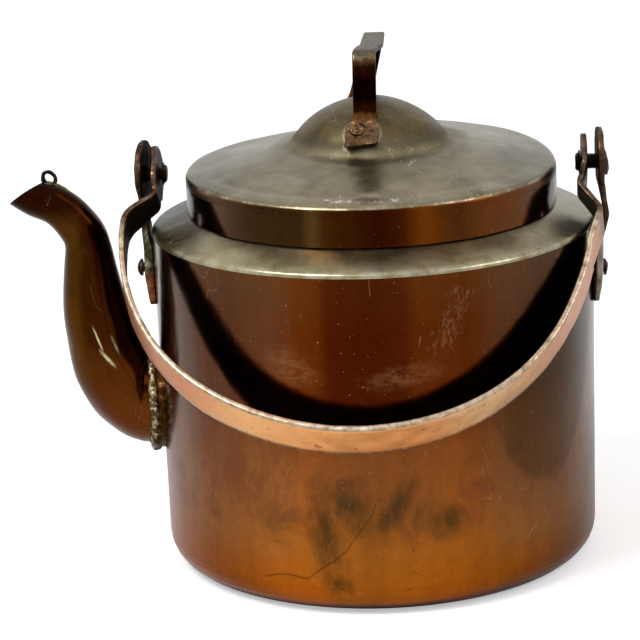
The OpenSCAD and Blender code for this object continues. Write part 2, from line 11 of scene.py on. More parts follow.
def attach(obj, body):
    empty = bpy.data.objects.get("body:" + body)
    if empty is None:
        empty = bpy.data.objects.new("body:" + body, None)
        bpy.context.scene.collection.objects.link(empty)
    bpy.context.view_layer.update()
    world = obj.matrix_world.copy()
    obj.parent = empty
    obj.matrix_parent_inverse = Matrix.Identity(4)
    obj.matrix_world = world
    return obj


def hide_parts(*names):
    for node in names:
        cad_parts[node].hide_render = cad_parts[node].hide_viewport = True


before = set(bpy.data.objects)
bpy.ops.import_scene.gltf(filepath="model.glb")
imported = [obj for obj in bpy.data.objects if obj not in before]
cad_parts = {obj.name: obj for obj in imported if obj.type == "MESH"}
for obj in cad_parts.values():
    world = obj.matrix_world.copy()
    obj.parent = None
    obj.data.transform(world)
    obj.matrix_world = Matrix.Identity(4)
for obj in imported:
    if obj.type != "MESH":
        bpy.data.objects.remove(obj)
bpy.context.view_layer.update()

MM = 0.001

# ---------------------------------------------------------------- camera

camera = bpy.data.objects.new("camera", bpy.data.cameras.new("camera"))
bpy.context.scene.collection.objects.link(camera)
camera.data.sensor_width = 36
camera.data.lens = 3027.64 / 640 * 36
camera.data.clip_start, camera.data.clip_end = 0.05, 30
right = Vector((0.99849306, 0.03880998, -0.03879947))
up = Vector((0.02680798, 0.27196471, 0.96193375))
ahead = Vector((-0.04788472, 0.9615243, -0.27051446))
turn = Matrix((right, up, -ahead)).transposed().to_4x4()
camera.matrix_world = Matrix.Translation(Vector((44.911, -1467.421, 531.268)) * MM) @ turn
bpy.context.scene.camera = camera


# ---------------------------------------------------------------- sizes, as in the CAD source

BODY_R, FOOT_R, SHEET = 110, 108.5, 1.2
BASE_R, WALL_TOP, SHOULDER_H = 14, 168.5, 170
NECK_R, NECK_TOP, NECK_FOOT, ROLL_R = 90.4, 191, 178, 1.3
LID_R, SKIRT_TOP, RIM_H, DOME_FOOT = 92, 193.12, 198.12, 210.62
DOME_FOOT_R, DOME_H = 40, 21.5
DOME_R = (DOME_FOOT_R ** 2 + DOME_H ** 2) / (2 * DOME_H)
DOME_MID = DOME_FOOT + DOME_H - DOME_R
PIVOT_H = 196.4
SPOUT_H, SPOUT_R, COLLAR = 79, 21.8, 3.4
SEAT = 0.05
EAR_X, EAR_T, EAR_EYE_R, KNEE_H = 112, 3, 15, 171
RIVET_ANGLE, BACK_TURN = 40, -11


def wall_r(z):
    return FOOT_R + (BODY_R - FOOT_R) * (z - BASE_R) / (WALL_TOP - BASE_R)


# ---------------------------------------------------------------- paths

def unit(v):
    v = np.asarray(v, float)
    return v / np.linalg.norm(v)


def arc(centre, r, a0, a1, steps):
    a = np.radians(np.linspace(a0, a1, steps + 1))
    return [np.array([centre[0] + r * math.cos(t), centre[1] + r * math.sin(t)]) for t in a]


def corner(a, b, c, r, steps):
    u, v = unit(a - b), unit(c - b)
    half = math.acos(max(-1, min(1, float(u @ v)))) / 2
    if half > 1.562:
        return [b]
    cut = r / math.tan(half)
    start, end, centre = b + u * cut, b + v * cut, b + unit(u + v) * r / math.sin(half)
    a0 = math.degrees(math.atan2(*(start - centre)[::-1]))
    a1 = math.degrees(math.atan2(*(end - centre)[::-1]))
    swing = (a1 - a0 + 180) % 360 - 180
    return arc(centre, r, a0, a0 + swing, steps)


def rounded(path, steps=6):
    out = []
    points = [np.array(p[:2], float) for p in path]
    for i, p in enumerate(path):
        if len(p) < 3 or i in (0, len(path) - 1):
            out.append(points[i])
        else:
            out += corner(points[i - 1], points[i], points[i + 1], p[2], steps)
    return out


def spaced(path, step):
    """The same path with points at most step apart."""
    out = [path[0]]
    for a, b in zip(path, path[1:]):
        n = max(1, math.ceil(np.linalg.norm(b - a) / step))
        out += [a + (b - a) * k / n for k in range(1, n + 1)]
    return out


def beside(path, d):
    out, last = [], len(path) - 1
    for i, p in enumerate(path):
        u = unit(path[min(i + 1, last)] - path[min(i, last - 1)])
        v = unit(path[max(i, 1)] - path[max(i - 1, 0)])
        n = unit([-u[1] - v[1], u[0] + v[0]])
        out.append(p + n * d / max(0.5, float(n @ np.array([-u[1], u[0]]))))
    return out


def band(path, t):
    return beside(path, t / 2) + beside(path, -t / 2)[::-1]


def smooth(stations, steps):
    """A smooth curve through the stations."""
    p = [np.array(s, float) for s in stations]
    out = []
    for i in range(len(p) - 1):
        a, b, c, d = p[max(i - 1, 0)], p[i], p[i + 1], p[min(i + 2, len(p) - 1)]
        for k in range(steps):
            t = k / steps
            out.append(0.5 * (2 * b + (c - a) * t + (2 * a - 5 * b + 4 * c - d) * t ** 2
                              + (3 * b - a - 3 * c + d) * t ** 3))
    return out + [p[-1]]


def step_up(x, low, high):
    t = min(1, max(0, (x - low) / (high - low)))
    return t * t * (3 - 2 * t)


def bump_at(x, centre, width):
    """A soft hill of height 1 at centre that ends width away."""
    return 1 - step_up(abs(x - centre), 0, width)


# ---------------------------------------------------------------- meshes

def piece(name, points, faces, body, material, replaces=(), sharp=40, attributes=None):
    mesh = bpy.data.meshes.new(name)
    mesh.from_pydata([tuple(float(c) * MM for c in p) for p in points], [], faces)
    for key, values in (attributes or {}).items():
        mesh.attributes.new(key, "FLOAT", "POINT").data.foreach_set("value", np.array(values, np.float32))
    bm = bmesh.new()
    bm.from_mesh(mesh)
    bmesh.ops.remove_doubles(bm, verts=bm.verts, dist=1e-6)
    bmesh.ops.dissolve_degenerate(bm, edges=bm.edges, dist=1e-7)
    bmesh.ops.recalc_face_normals(bm, faces=bm.faces)
    bm.to_mesh(mesh)
    bm.free()
    mesh.shade_smooth()
    mesh.set_sharp_from_angle(angle=math.radians(sharp))
    mesh.materials.append(material)
    obj = bpy.data.objects.new(name, mesh)
    bpy.context.scene.collection.objects.link(obj)
    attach(obj, body)
    if replaces:
        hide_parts(*replaces)
    return obj


def loft(rings, closed=False):
    """Points and faces of a skin over equal rings; a closed stack meets its own start."""
    n, count = len(rings[0]), len(rings)
    faces = []
    for i in range(count if closed else count - 1):
        j = (i + 1) % count
        for k in range(n):
            m = (k + 1) % n
            faces.append((i * n + k, i * n + m, j * n + m, j * n + k))
    if not closed:
        faces += [tuple(range(n))[::-1], tuple((count - 1) * n + k for k in range(n))]
    return [p for ring in rings for p in ring], faces


def lathe(profile, segments, wobble=None):
    """A closed profile of [radius, z] turned about the Z axis."""
    rings = []
    for s in range(segments):
        a = 2 * math.pi * s / segments
        ring = []
        for r, z in profile:
            dr, dz = wobble(a, r, z) if wobble else (0, 0)
            ring.append(((r + dr) * math.cos(a), (r + dr) * math.sin(a), z + dz))
        rings.append(ring)
    return loft(rings, closed=True)


def roughen(obj, height, scale, seed=0, where=None):
    """Moves the vertices along their normals by smooth noise."""
    mesh = obj.data
    normals = [v.normal.copy() for v in mesh.vertices]
    for v, n in zip(mesh.vertices, normals):
        p = v.co / MM
        share = where(p) if where else 1
        if share:
            v.co += n * MM * height * share * noise.noise(p / scale + Vector((seed, seed * 2.3, seed * 0.7)))
    mesh.update()
    return obj


def section(half_w, half_t, bevel, across=6):
    """A bevelled rectangle, counter-clockwise, with points spread over its wide faces."""
    b = min(bevel, half_w * 0.9, half_t * 0.9)
    out = []
    for sx, sy, a0 in ((1, -1, -90), (1, 1, 0), (-1, 1, 90), (-1, -1, 180)):
        for k in range(4):
            a = math.radians(a0 + 30 * k)
            out.append((sx * (half_w - b) + b * math.cos(a), sy * (half_t - b) + b * math.sin(a)))
        if a0 in (0, 180):
            side = 1 if a0 == 0 else -1
            for k in range(1, across):
                out.append((side * (half_w - b) * (1 - 2 * k / across), side * half_t))
    return out


def placed(outline, middle, across, out):
    """The outline's points set at middle, its x along across and its y along out."""
    return [middle + across * a + out * b for a, b in outline]


def frame_of(axis):
    """Two directions at right angles to the axis and to each other."""
    axis = unit(axis)
    side = unit(np.cross(axis, [0, 0, 1] if abs(axis[2]) < 0.9 else [0, 1, 0]))
    return side, np.cross(axis, side)


def turned(profile, origin, axis, segments, wobble=None):
    """A closed profile of [radius, along] turned about an axis through the origin."""
    u, v = frame_of(axis)
    origin, axis, rings = np.array(origin, float), unit(axis), []
    for s in range(segments):
        a = 2 * math.pi * s / segments
        d = u * math.cos(a) + v * math.sin(a)
        rings.append([origin + d * (r + (wobble(a, r, t) if wobble else 0)) + axis * t for r, t in profile])
    return loft(rings, closed=True)


# ---------------------------------------------------------------- materials

def rgb(r, g, b):
    return tuple((v / 255 / 12.92) if v < 10.3 else ((v / 255 + 0.055) / 1.055) ** 2.4 for v in (r, g, b)) + (1,)


class Look:
    """A node material with short calls for what the metals share."""

    def __init__(self, name, metallic=1, coat=0):
        self.material = bpy.data.materials.new(name)
        self.material.use_nodes = True
        self.tree = self.material.node_tree
        self.shader = self.tree.nodes["Principled BSDF"]
        self.shader.inputs["Metallic"].default_value = metallic
        self.shader.inputs["Coat Weight"].default_value = coat
        self.shader.inputs["Coat Roughness"].default_value = 0.06
        at = self.node("ShaderNodeTexCoord")
        mm = self.node("ShaderNodeVectorMath", operation="SCALE")
        self.tree.links.new(at.outputs["Object"], mm.inputs[0])
        mm.inputs["Scale"].default_value = 1000
        self.place = mm.outputs[0]
        split = self.node("ShaderNodeSeparateXYZ")
        self.tree.links.new(self.place, split.inputs[0])
        self.x, self.y, self.z = split.outputs

    def node(self, kind, **settings):
        made = self.tree.nodes.new(kind)
        for key, value in settings.items():
            setattr(made, key, value)
        return made

    def put(self, socket, value):
        if isinstance(value, bpy.types.NodeSocket):
            self.tree.links.new(value, socket)
        else:
            socket.default_value = value

    def math(self, operation, *values):
        made = self.node("ShaderNodeMath", operation=operation)
        for socket, value in zip(made.inputs, values):
            self.put(socket, value)
        return made.outputs[0]

    def add(self, a, b):
        return self.math("ADD", a, b)

    def times(self, a, b):
        return self.math("MULTIPLY", a, b)

    def step(self, value, low, high):
        """0 below low and 1 above high, smooth between; low may be above high."""
        made = self.node("ShaderNodeMapRange", interpolation_type="SMOOTHSTEP")
        for key, v in (("Value", value), ("From Min", low), ("From Max", high)):
            self.put(made.inputs[key], v)
        return made.outputs[0]

    def noise(self, size, detail=3, roughness=0.5, distortion=0, stretch=(1, 1, 1), at=None, seed=0):
        """Noise of about that size in millimetres, from 0 to 1."""
        mapping = self.node("ShaderNodeMapping")
        self.put(mapping.inputs["Vector"], at or self.place)
        mapping.inputs["Location"].default_value = (seed * 3.1, seed * 1.7, seed * 5.3)
        mapping.inputs["Scale"].default_value = [1 / size / s for s in stretch]
        made = self.node("ShaderNodeTexNoise")
        made.inputs["Scale"].default_value = 1
        made.inputs["Detail"].default_value = detail
        made.inputs["Roughness"].default_value = roughness
        made.inputs["Distortion"].default_value = distortion
        self.put(made.inputs["Vector"], mapping.outputs[0])
        return made.outputs["Fac"]

    def ramp(self, value, stops):
        """Colours at places of value, which may be any numbers."""
        low, high = stops[0][0], stops[-1][0]
        spread = self.node("ShaderNodeMapRange")
        self.put(spread.inputs["Value"], value)
        spread.inputs["From Min"].default_value, spread.inputs["From Max"].default_value = low, high
        made = self.node("ShaderNodeValToRGB")
        elements = made.color_ramp.elements
        for i, (at, colour) in enumerate(stops):
            where = (at - low) / (high - low)
            e = elements[i] if i < 2 and len(stops) == 2 else None
            if e is None:
                e = elements[0] if i == 0 else elements[-1] if i == len(stops) - 1 else elements.new(where)
            e.position = where
            e.color = colour
        self.put(made.inputs[0], spread.outputs[0])
        return made.outputs[0]

    def mix(self, share, a, b, blend="MIX"):
        made = self.node("ShaderNodeMix", data_type="RGBA", blend_type=blend)
        self.put(made.inputs[0], share)
        self.put(made.inputs[6], a)
        self.put(made.inputs[7], b)
        return made.outputs[2]

    def grey(self, value):
        made = self.node("ShaderNodeCombineColor")
        for socket in made.inputs[:3]:
            self.put(socket, value)
        return made.outputs[0]

    def tone(self, colour, value, low, high):
        """The colour made darker or lighter as value goes from 0 to 1."""
        return self.mix(1.0, colour, self.grey(self.add(self.times(value, high - low), low)), "MULTIPLY")

    def bump(self, height, distance, strength=1.0, under=None):
        made = self.node("ShaderNodeBump")
        made.inputs["Strength"].default_value = strength
        made.inputs["Distance"].default_value = distance * MM
        self.put(made.inputs["Height"], height)
        if under is not None:
            self.put(made.inputs["Normal"], under)
        return made.outputs[0]

    def blot(self, u, v, middle, reach, tilt=0.0, soft=0.4, ragged=0.25, grain=6, seed=0):
        """1 inside a ragged ellipse about middle (u, v) with half axes reach, 0 outside."""
        du, dv = self.add(u, -middle[0]), self.add(v, -middle[1])
        c, s = math.cos(math.radians(tilt)), math.sin(math.radians(tilt))
        p = self.times(self.add(self.times(du, c), self.times(dv, s)), 1 / reach[0])
        q = self.times(self.add(self.times(dv, c), self.times(du, -s)), 1 / reach[1])
        far = self.math("SQRT", self.add(self.times(p, p), self.times(q, q)))
        if ragged:
            far = self.add(far, self.times(self.add(self.noise(grain, 4, 0.6, 0.3, seed=seed), -0.5), ragged * 4))
        return self.step(far, 1 + soft / 2, 1 - soft)

    def most(self, *masks):
        out = masks[0]
        for m in masks[1:]:
            out = self.math("MAXIMUM", out, m)
        return out

    def near(self, point, low, high):
        """0 nearer to the point than low millimetres, 1 beyond high, or the other way round."""
        made = self.node("ShaderNodeVectorMath", operation="DISTANCE")
        self.put(made.inputs[0], self.place)
        made.inputs[1].default_value = point
        return self.step(made.outputs["Value"], low, high)

    def attribute(self, name):
        return self.node("ShaderNodeAttribute", attribute_name=name).outputs["Fac"]

    def turn(self):
        """Degrees round the Z axis from the front, to the right."""
        return self.times(self.math("ARCTAN2", self.x, self.times(self.y, -1)), 180 / math.pi)

    def finish(self, colour, roughness, normal=None):
        self.put(self.shader.inputs["Base Color"], colour)
        self.put(self.shader.inputs["Roughness"], roughness)
        if normal is not None:
            self.put(self.shader.inputs["Normal"], normal)
        return self.material


def specks(look, colour, size, share, tint, seed=0):
    """Small lighter or darker specks where a fine noise peaks."""
    peak = look.noise(size, detail=1, seed=seed)
    return look.mix(look.times(look.step(peak, 1 - share, 1 - share + 0.05), 0.6), colour, tint)


def scratches(look, colour, tint, size, seed, stretch=(1, 9, 1), thin=0.012, amount=0.6):
    """Fine broken lines where a stretched noise crosses its middle."""
    line = look.noise(size, detail=2, distortion=0.6, stretch=stretch, seed=seed)
    near = look.step(look.math("ABSOLUTE", look.add(line, -0.5)), thin, 0.0)
    broken = look.step(look.noise(size * 1.3, detail=2, seed=seed + 5), 0.56, 0.66)
    return look.mix(look.times(look.times(near, broken), amount), colour, tint)


def body_look():
    look = Look("copper_body")
    turn = look.turn()
    # The copper's tone by height, partly painted reflection: bright orange low on the wall where it would mirror the
    # floor, darker brown higher up, darkest at the very foot
    by_height = look.ramp(look.z, [
        (0, rgb(40, 20, 8)), (3, rgb(92, 46, 10)), (6, rgb(150, 84, 22)), (16, rgb(160, 92, 24)), (34, rgb(158, 96, 34)),
        (60, rgb(140, 84, 40)), (84, rgb(122, 72, 36)), (105, rgb(94, 46, 18)), (140, rgb(88, 42, 10)),
        (170, rgb(92, 54, 24))])
    # Painted reflections: pale and dark upright columns round the wall, multiplied into its tone
    reflection_columns = look.ramp(turn, [
        (-100, rgb(198, 192, 186)), (-62, rgb(192, 184, 176)), (-50, rgb(186, 172, 158)), (-38, rgb(180, 164, 150)),
        (-28, rgb(206, 190, 164)), (-20, rgb(226, 206, 160)), (-13, rgb(214, 190, 150)), (-10, rgb(170, 130, 110)),
        (0, rgb(164, 128, 112)), (8, rgb(172, 138, 116)), (12, rgb(212, 190, 150)), (36, rgb(192, 180, 162)),
        (52, rgb(150, 140, 130)), (75, rgb(150, 146, 140)), (100, rgb(196, 192, 186))])
    # Low down the front the painted reflections have no darker column
    low_reflection_columns = look.ramp(turn, [
        (-100, rgb(198, 192, 186)), (-62, rgb(192, 184, 178)), (-40, rgb(188, 176, 164)), (-24, rgb(232, 218, 190)),
        (-15, rgb(236, 224, 200)), (-4, rgb(206, 200, 192)), (10, rgb(216, 206, 192)), (20, rgb(212, 198, 172)),
        (36, rgb(178, 172, 166)), (52, rgb(160, 154, 148)), (75, rgb(160, 158, 156)), (100, rgb(196, 194, 190))])
    reflection_columns = look.mix(look.step(look.z, 104, 86), reflection_columns, low_reflection_columns)
    colour = look.mix(1.0, by_height, reflection_columns, "MULTIPLY")
    # A thin grey painted sheen away from the middle
    side_sheen = look.times(look.most(look.step(turn, -46, -62), look.step(turn, 56, 68)), look.step(look.z, 20, 62))
    colour = look.mix(look.times(side_sheen, 0.1), colour, rgb(150, 146, 140))
    side_sheen = look.times(look.most(look.step(turn, -16, -26), look.step(turn, 24, 38)), look.step(look.z, 14, 40))
    colour = look.mix(look.times(side_sheen, 0.05), colour, rgb(150, 140, 110))
    colour = look.tone(colour, look.noise(26, 4, 0.6, 0.4, (1, 1, 1.6)), 1.15, 1.8)
    # Redder and duller clouds low on the wall
    cloud = look.times(look.step(look.noise(17, 5, 0.65, 0.6, (1, 1, 1.5), seed=14), 0.48, 0.62),
                       look.times(look.step(look.z, 26, 44), look.step(look.z, 116, 84)))
    colour = look.mix(look.times(cloud, 0.42), colour, rgb(104, 54, 34))
    colour = look.tone(colour, look.noise(5, 4, 0.65), 0.82, 1.18)
    colour = look.tone(colour, look.noise(9, 3, 0.6, 0.2, (1, 1, 14), seed=3), 0.84, 1.16)
    # Painted highlights, paler and rosy, in the brown upper half, and one large painted dark reflection on the right
    rosy = look.most(look.blot(turn, look.z, (-20, 124), (6, 10), 20, 0.9, seed=1),
                     look.blot(turn, look.z, (8, 120), (10, 5), 20, 0.8, seed=2))
    rosy = look.times(rosy, look.step(look.noise(2.6, 4, 0.7, 0.3, (2.4, 2.4, 1), seed=21), 0.34, 0.6))
    colour = look.mix(look.times(rosy, 0.34), colour, rgb(158, 106, 66))
    scuffs = look.most(look.blot(turn, look.z, (20, 143), (3.4, 14), -14, 0.8, 0.6, 2.4, 3),
                       look.blot(turn, look.z, (23, 158), (4, 3), 0, 0.8, 0.6, 2.4, 4),
                       look.times(look.blot(turn, look.z, (28, 68), (4, 2.4), 60, 0.8, 0.6, 2.4, 5), 0.6))
    scuffs = look.times(scuffs, look.step(look.noise(1.5, 4, 0.7, 0.4, (1, 1, 3), seed=22), 0.44, 0.62))
    colour = look.mix(look.times(scuffs, 0.4), colour, rgb(150, 112, 78))
    # A painted dark reflection: the large darker field on the right, with a curved lower edge
    bowl = look.add(turn, -50)
    lower = look.add(look.z, look.add(look.times(look.times(bowl, bowl), -0.1),
                                      look.times(look.add(look.noise(16, 4, 0.6, seed=6), -0.5), 16)))
    dark_reflection = look.times(look.times(look.step(lower, 51, 58), look.step(look.z, 152, 116)),
                       look.times(look.step(look.add(turn, look.times(look.noise(20, 3, seed=26), 12)), 33, 46),
                                  look.step(turn, 92, 62)))
    colour = look.mix(look.times(dark_reflection, 0.5), colour, rgb(52, 38, 14))
    # Olive stains low on the front
    smear = look.noise(6, 5, 0.7, 0.3, (1, 1, 2.2), seed=23)
    stains = look.most(look.blot(turn, look.z, (-12.5, 40), (4.6, 34), 3, 1.0, 0.3, 9, 7),
                       look.blot(turn, look.z, (-7, 56), (6.5, 15), 12, 1.0, 0.3, 9, 8),
                       look.blot(turn, look.z, (4.6, 54), (4.4, 17), -16, 1.0, 0.3, 9, 9),
                       look.blot(turn, look.z, (18, 47), (6.2, 10), 8, 1.0, 0.3, 9, 10),
                       look.times(look.blot(turn, look.z, (-27.5, 48), (5.5, 12), 0, 1.2, 0.3, 9, 11), 0.6),
                       look.times(look.blot(turn, look.z, (11.5, 52), (2.6, 12), -8, 1.0, 0.4, 8, 13), 0.7),
                       look.times(look.blot(turn, look.z, (-10, 17), (5, 6), 0, 1.0, 0.4, 5, 12), 0.9))
    stains = look.times(stains, look.add(look.times(look.step(smear, 0.28, 0.56), 0.5), 0.5))
    colour = look.mix(look.times(stains, 0.82), colour, rgb(50, 44, 24))
    # One long thin scratch, a bow and then a wave
    wander = look.add(look.z, look.times(look.add(look.noise(9, 2), -0.5), 3.5))
    line = look.ramp(turn, [(-31, (0.17,) * 3 + (1,)), (-24, (0.2,) * 3 + (1,)), (-18, (0.19,) * 3 + (1,)),
                            (-8, (0.33,) * 3 + (1,)), (-1, (0.52,) * 3 + (1,)), (2, (0.66,) * 3 + (1,))])
    off = look.math("ABSOLUTE", look.add(wander, look.times(look.math("MULTIPLY", line, 1), -100)))
    here = look.times(look.step(off, 0.9, 0.2), look.times(look.step(turn, -31, -29), look.step(turn, 2, 0)))
    colour = look.mix(look.times(here, 0.5), colour, rgb(60, 34, 14))
    colour = specks(look, colour, 1.3, 0.25, rgb(190, 150, 112), 2)
    pits = look.times(look.step(look.noise(1.7, 2, 0.6, seed=15), 0.66, 0.72), look.step(look.z, 60, 26))
    colour = look.mix(look.times(pits, 0.6), colour, rgb(56, 28, 8))
    colour = scratches(look, colour, rgb(196, 160, 120), 16, 4, (1, 1, 3), 0.004, 0.3)
    colour = scratches(look, colour, rgb(60, 32, 12), 11, 17, (2, 2, 1), 0.005, 0.4)
    rough = look.add(look.times(look.noise(18, 4, 0.6), 0.14), look.add(look.times(look.step(look.z, 110, 60), 0.1), 0.08))
    wavy = look.bump(look.noise(34, 2, 0.5), 0.5, 1.0)
    fine = look.bump(look.noise(2.4, 3, 0.6), 0.02, 0.5, wavy)
    return look.finish(colour, rough, fine)


def skirt_colour_and_reflections(look):
    # Painted reflections: dark and pale upright columns round the band over the sheet's own brown
    colour = look.ramp(look.turn(), [
        (-100, rgb(70, 52, 38)), (-80, rgb(16, 7, 3)), (-73, rgb(24, 10, 5)), (-68, rgb(108, 80, 60)),
        (-60, rgb(104, 78, 58)), (-52, rgb(80, 56, 40)), (-42, rgb(60, 40, 22)), (-34, rgb(50, 31, 13)),
        (-26, rgb(48, 31, 12)), (-20, rgb(50, 31, 9)), (-16.5, rgb(76, 54, 26)), (-12.5, rgb(56, 30, 6)),
        (-8, rgb(52, 24, 3)), (4, rgb(42, 10, 2)), (11, rgb(58, 22, 3)), (17, rgb(100, 50, 7)), (22, rgb(82, 41, 8)),
        (28, rgb(70, 36, 12)), (38, rgb(88, 48, 18)), (50, rgb(92, 52, 24)), (64, rgb(96, 60, 34)),
        (72, rgb(60, 28, 12)), (77, rgb(20, 6, 2)), (84, rgb(18, 6, 3)), (100, rgb(70, 52, 38))])
    colour = look.tone(colour, look.noise(18, 4, 0.6, 0.3), 0.85, 1.35)
    colour = look.tone(colour, look.noise(3, 4, 0.65), 0.88, 1.12)
    colour = look.tone(colour, look.noise(5, 4, 0.6, 0.2, (1, 1, 8), seed=18), 0.84, 1.16)
    return specks(look, colour, 1.2, 0.25, rgb(168, 120, 84), 6)


def patina_look(name="copper_patina"):
    look = Look(name)
    colour = look.ramp(look.noise(24, 4, 0.6, 0.5), [
        (0.3, rgb(86, 77, 54)), (0.45, rgb(106, 98, 75)), (0.6, rgb(119, 110, 88)), (0.75, rgb(138, 126, 104))])
    # Painted light and shade: the cone lighter towards the front, darker towards its sides
    colour = look.tone(colour, look.step(look.y, -35, -80), 1.0, 1.3)
    colour = look.tone(colour, look.step(look.math("ABSOLUTE", look.x), 48, 80), 1.0, 0.76)
    # The dome is darker and greener than the cone
    dome = look.step(look.z, 211, 216)
    colour = look.mix(dome, colour, look.ramp(look.noise(14, 4, 0.6, 0.4, seed=3), [
        (0.3, rgb(72, 60, 36)), (0.55, rgb(92, 80, 54)), (0.8, rgb(108, 98, 74))]))
    colour = look.mix(look.times(look.times(dome, look.step(look.z, 220, 214)), 0.55), colour, rgb(78, 75, 64))
    # So is the shoulder, browner towards its foot on the left
    shoulder = look.step(look.z, 187, 182)
    colour = look.mix(shoulder, colour, look.ramp(look.noise(15, 5, 0.65, 0.5, seed=5), [
        (0.3, rgb(122, 110, 78)), (0.46, rgb(138, 128, 96)), (0.62, rgb(150, 140, 110)), (0.8, rgb(168, 152, 122))]))
    turn = look.turn()
    # Painted light and shade on the shoulder: lighter on its front left, darker on its right
    pale = look.times(look.times(look.step(turn, -54, -42), look.step(turn, -20, -30)), shoulder)
    colour = look.tone(colour, pale, 1.0, 1.18)
    colour = look.tone(colour, look.times(look.step(turn, 30, 50), shoulder), 1.0, 0.72)
    left = look.times(look.step(turn, -50, -64), shoulder)
    colour = look.mix(look.times(left, 0.96), colour, look.ramp(look.noise(6, 4, 0.65, seed=34), [
        (0.35, rgb(28, 22, 9)), (0.5, rgb(44, 36, 16)), (0.66, rgb(72, 62, 36))]))
    look.put(look.shader.inputs["Metallic"], look.add(look.times(left, -0.95), 1))
    look.put(look.shader.inputs["Specular IOR Level"], look.add(look.times(left, -0.4), 0.5))
    rosy = look.times(look.step(look.noise(4, 4, 0.7, 0.5, seed=31), 0.58, 0.7), shoulder)
    colour = look.mix(look.times(rosy, 0.35), colour, rgb(176, 132, 112))
    # A painted highlight along the shoulder's rounded lower edge, left out on the far left
    edge = look.times(look.step(look.z, 172.5, 170.5), look.step(look.noise(8, 4, 0.6, seed=32), 0.35, 0.6))
    edge = look.times(edge, look.step(left, 1, 0))
    colour = look.mix(look.times(edge, 0.4), colour, rgb(196, 190, 170))
    # Soft ring mark round the front foot of the handle
    mark = look.times(look.near((-2.6, -31, 220.7), 8.0, 8.9), look.near((-2.6, -31, 220.7), 10.2, 9.3))
    colour = look.mix(look.times(look.times(mark, dome), 0.3), colour, rgb(168, 160, 138))
    colour = look.tone(colour, look.noise(4, 4, 0.65), 0.86, 1.14)
    colour = look.tone(colour, look.noise(1.4, 3, 0.7, seed=35), 0.88, 1.12)
    colour = look.tone(colour, look.noise(9, 5, 0.7, 0.8, seed=8), 0.82, 1.18)
    colour = specks(look, colour, 1.6, 0.26, rgb(200, 192, 175), 5)
    colour = scratches(look, colour, rgb(206, 198, 182), 13, 9, (1, 1, 1), 0.006, 0.5)
    colour = scratches(look, colour, rgb(66, 58, 40), 10, 19, (1, 1, 1), 0.006, 0.5)
    # A row of pale dashes inside the rim in front
    far = look.math("SQRT", look.add(look.times(look.x, look.x), look.times(look.y, look.y)))
    dashes = look.times(look.times(look.step(far, 82.5, 83.5), look.step(far, 87.5, 86)),
                        look.times(look.step(look.math("ABSOLUTE", look.add(look.turn(), 1)), 16, 10),
                                   look.step(look.noise(3, 3, 0.6, seed=33), 0.54, 0.6)))
    colour = look.mix(look.times(look.times(dashes, look.step(look.z, 197, 198)), 0.7), colour, rgb(222, 216, 200))
    # Below its rim the lid's sheet is as brown as the skirt, with the same painted reflections; the rim itself is
    # rubbed pale and carries a painted highlight
    turned = look.times(look.step(look.z, RIM_H - 0.7, RIM_H - 1.5), look.step(look.z, 190, 192.5))
    colour = look.mix(turned, colour, skirt_colour_and_reflections(look))
    rim_wear_and_highlight = look.times(look.times(look.step(look.z, RIM_H - 1.5, RIM_H - 1.0), look.step(look.z, RIM_H + 0.1, RIM_H - 0.5)),
                      look.step(look.noise(5, 4, 0.65, seed=4), 0.46, 0.62))
    colour = look.mix(look.times(rim_wear_and_highlight, 0.4), colour, rgb(196, 176, 150))
    rough = look.add(look.times(look.noise(16, 4, 0.6), 0.2), look.add(look.times(dome, 0.12), 0.2))
    rough = look.add(rough, look.times(look.times(look.step(look.z, 219, 213), look.step(look.z, 208, 210.5)), 0.25))
    wavy = look.bump(look.noise(22, 2, 0.5), 0.35, 1.0)
    return look.finish(colour, rough, look.bump(look.noise(2, 3, 0.6), 0.02, 0.5, wavy))


def skirt_look():
    look = Look("copper_skirt")
    rough = look.add(look.times(look.noise(14, 3), 0.1), 0.1)
    return look.finish(skirt_colour_and_reflections(look), rough, look.bump(look.noise(20, 2), 0.25))


def spout_look():
    look = Look("copper_spout")
    colour = look.ramp(look.z, [
        (55, rgb(110, 68, 34)), (75, rgb(98, 50, 16)), (95, rgb(84, 42, 10)), (130, rgb(66, 36, 6)),
        (160, rgb(56, 29, 6)), (180, rgb(38, 14, 3)), (200, rgb(38, 14, 3))])
    # Olive along the left, redder along the middle
    lengthwise = look.noise(11, 4, 0.6, 0.5, (1, 1, 4), seed=2)
    across = look.step(look.add(look.x, look.times(lengthwise, 10)), -145, -137)
    colour = look.mix(look.times(look.times(look.step(across, 1, 0), look.step(look.z, 184, 170)), 0.6),
                      colour, rgb(86, 54, 12))
    colour = look.mix(look.times(look.times(across, look.step(look.z, 100, 118)), 0.6), colour, rgb(50, 16, 2))
    colour = look.tone(colour, look.noise(16, 4, 0.6, 0.4), 0.8, 1.2)
    colour = look.tone(colour, look.noise(3, 4, 0.65), 0.88, 1.12)
    # Painted highlight streaks on the front of the spout
    front = look.step(look.y, 0, -4)
    painted_gleam = look.most(look.blot(look.x, look.z, (-138.6, 116), (0.5, 6), 22, 0.9, 0.3, 3, 3),
                      look.blot(look.x, look.z, (-134.6, 107), (0.9, 5.2), 40, 0.9, 0.3, 3, 4),
                      look.times(look.blot(look.x, look.z, (-130.4, 113), (0.6, 5), 22, 0.9, 0.5, 3, 5), 0.3))
    colour = look.mix(look.times(look.times(painted_gleam, front), 0.8), colour, rgb(236, 222, 170))
    colour = specks(look, colour, 1.3, 0.22, rgb(170, 128, 90), 8)
    colour = scratches(look, colour, rgb(176, 140, 100), 12, 3, (1, 1, 3), 0.005, 0.35)
    rough = look.add(look.times(look.noise(12, 3), 0.12), 0.13)
    wavy = look.bump(look.noise(13, 2), 0.3)
    return look.finish(colour, rough, look.bump(look.noise(2, 3, 0.6), 0.02, 0.5, wavy))


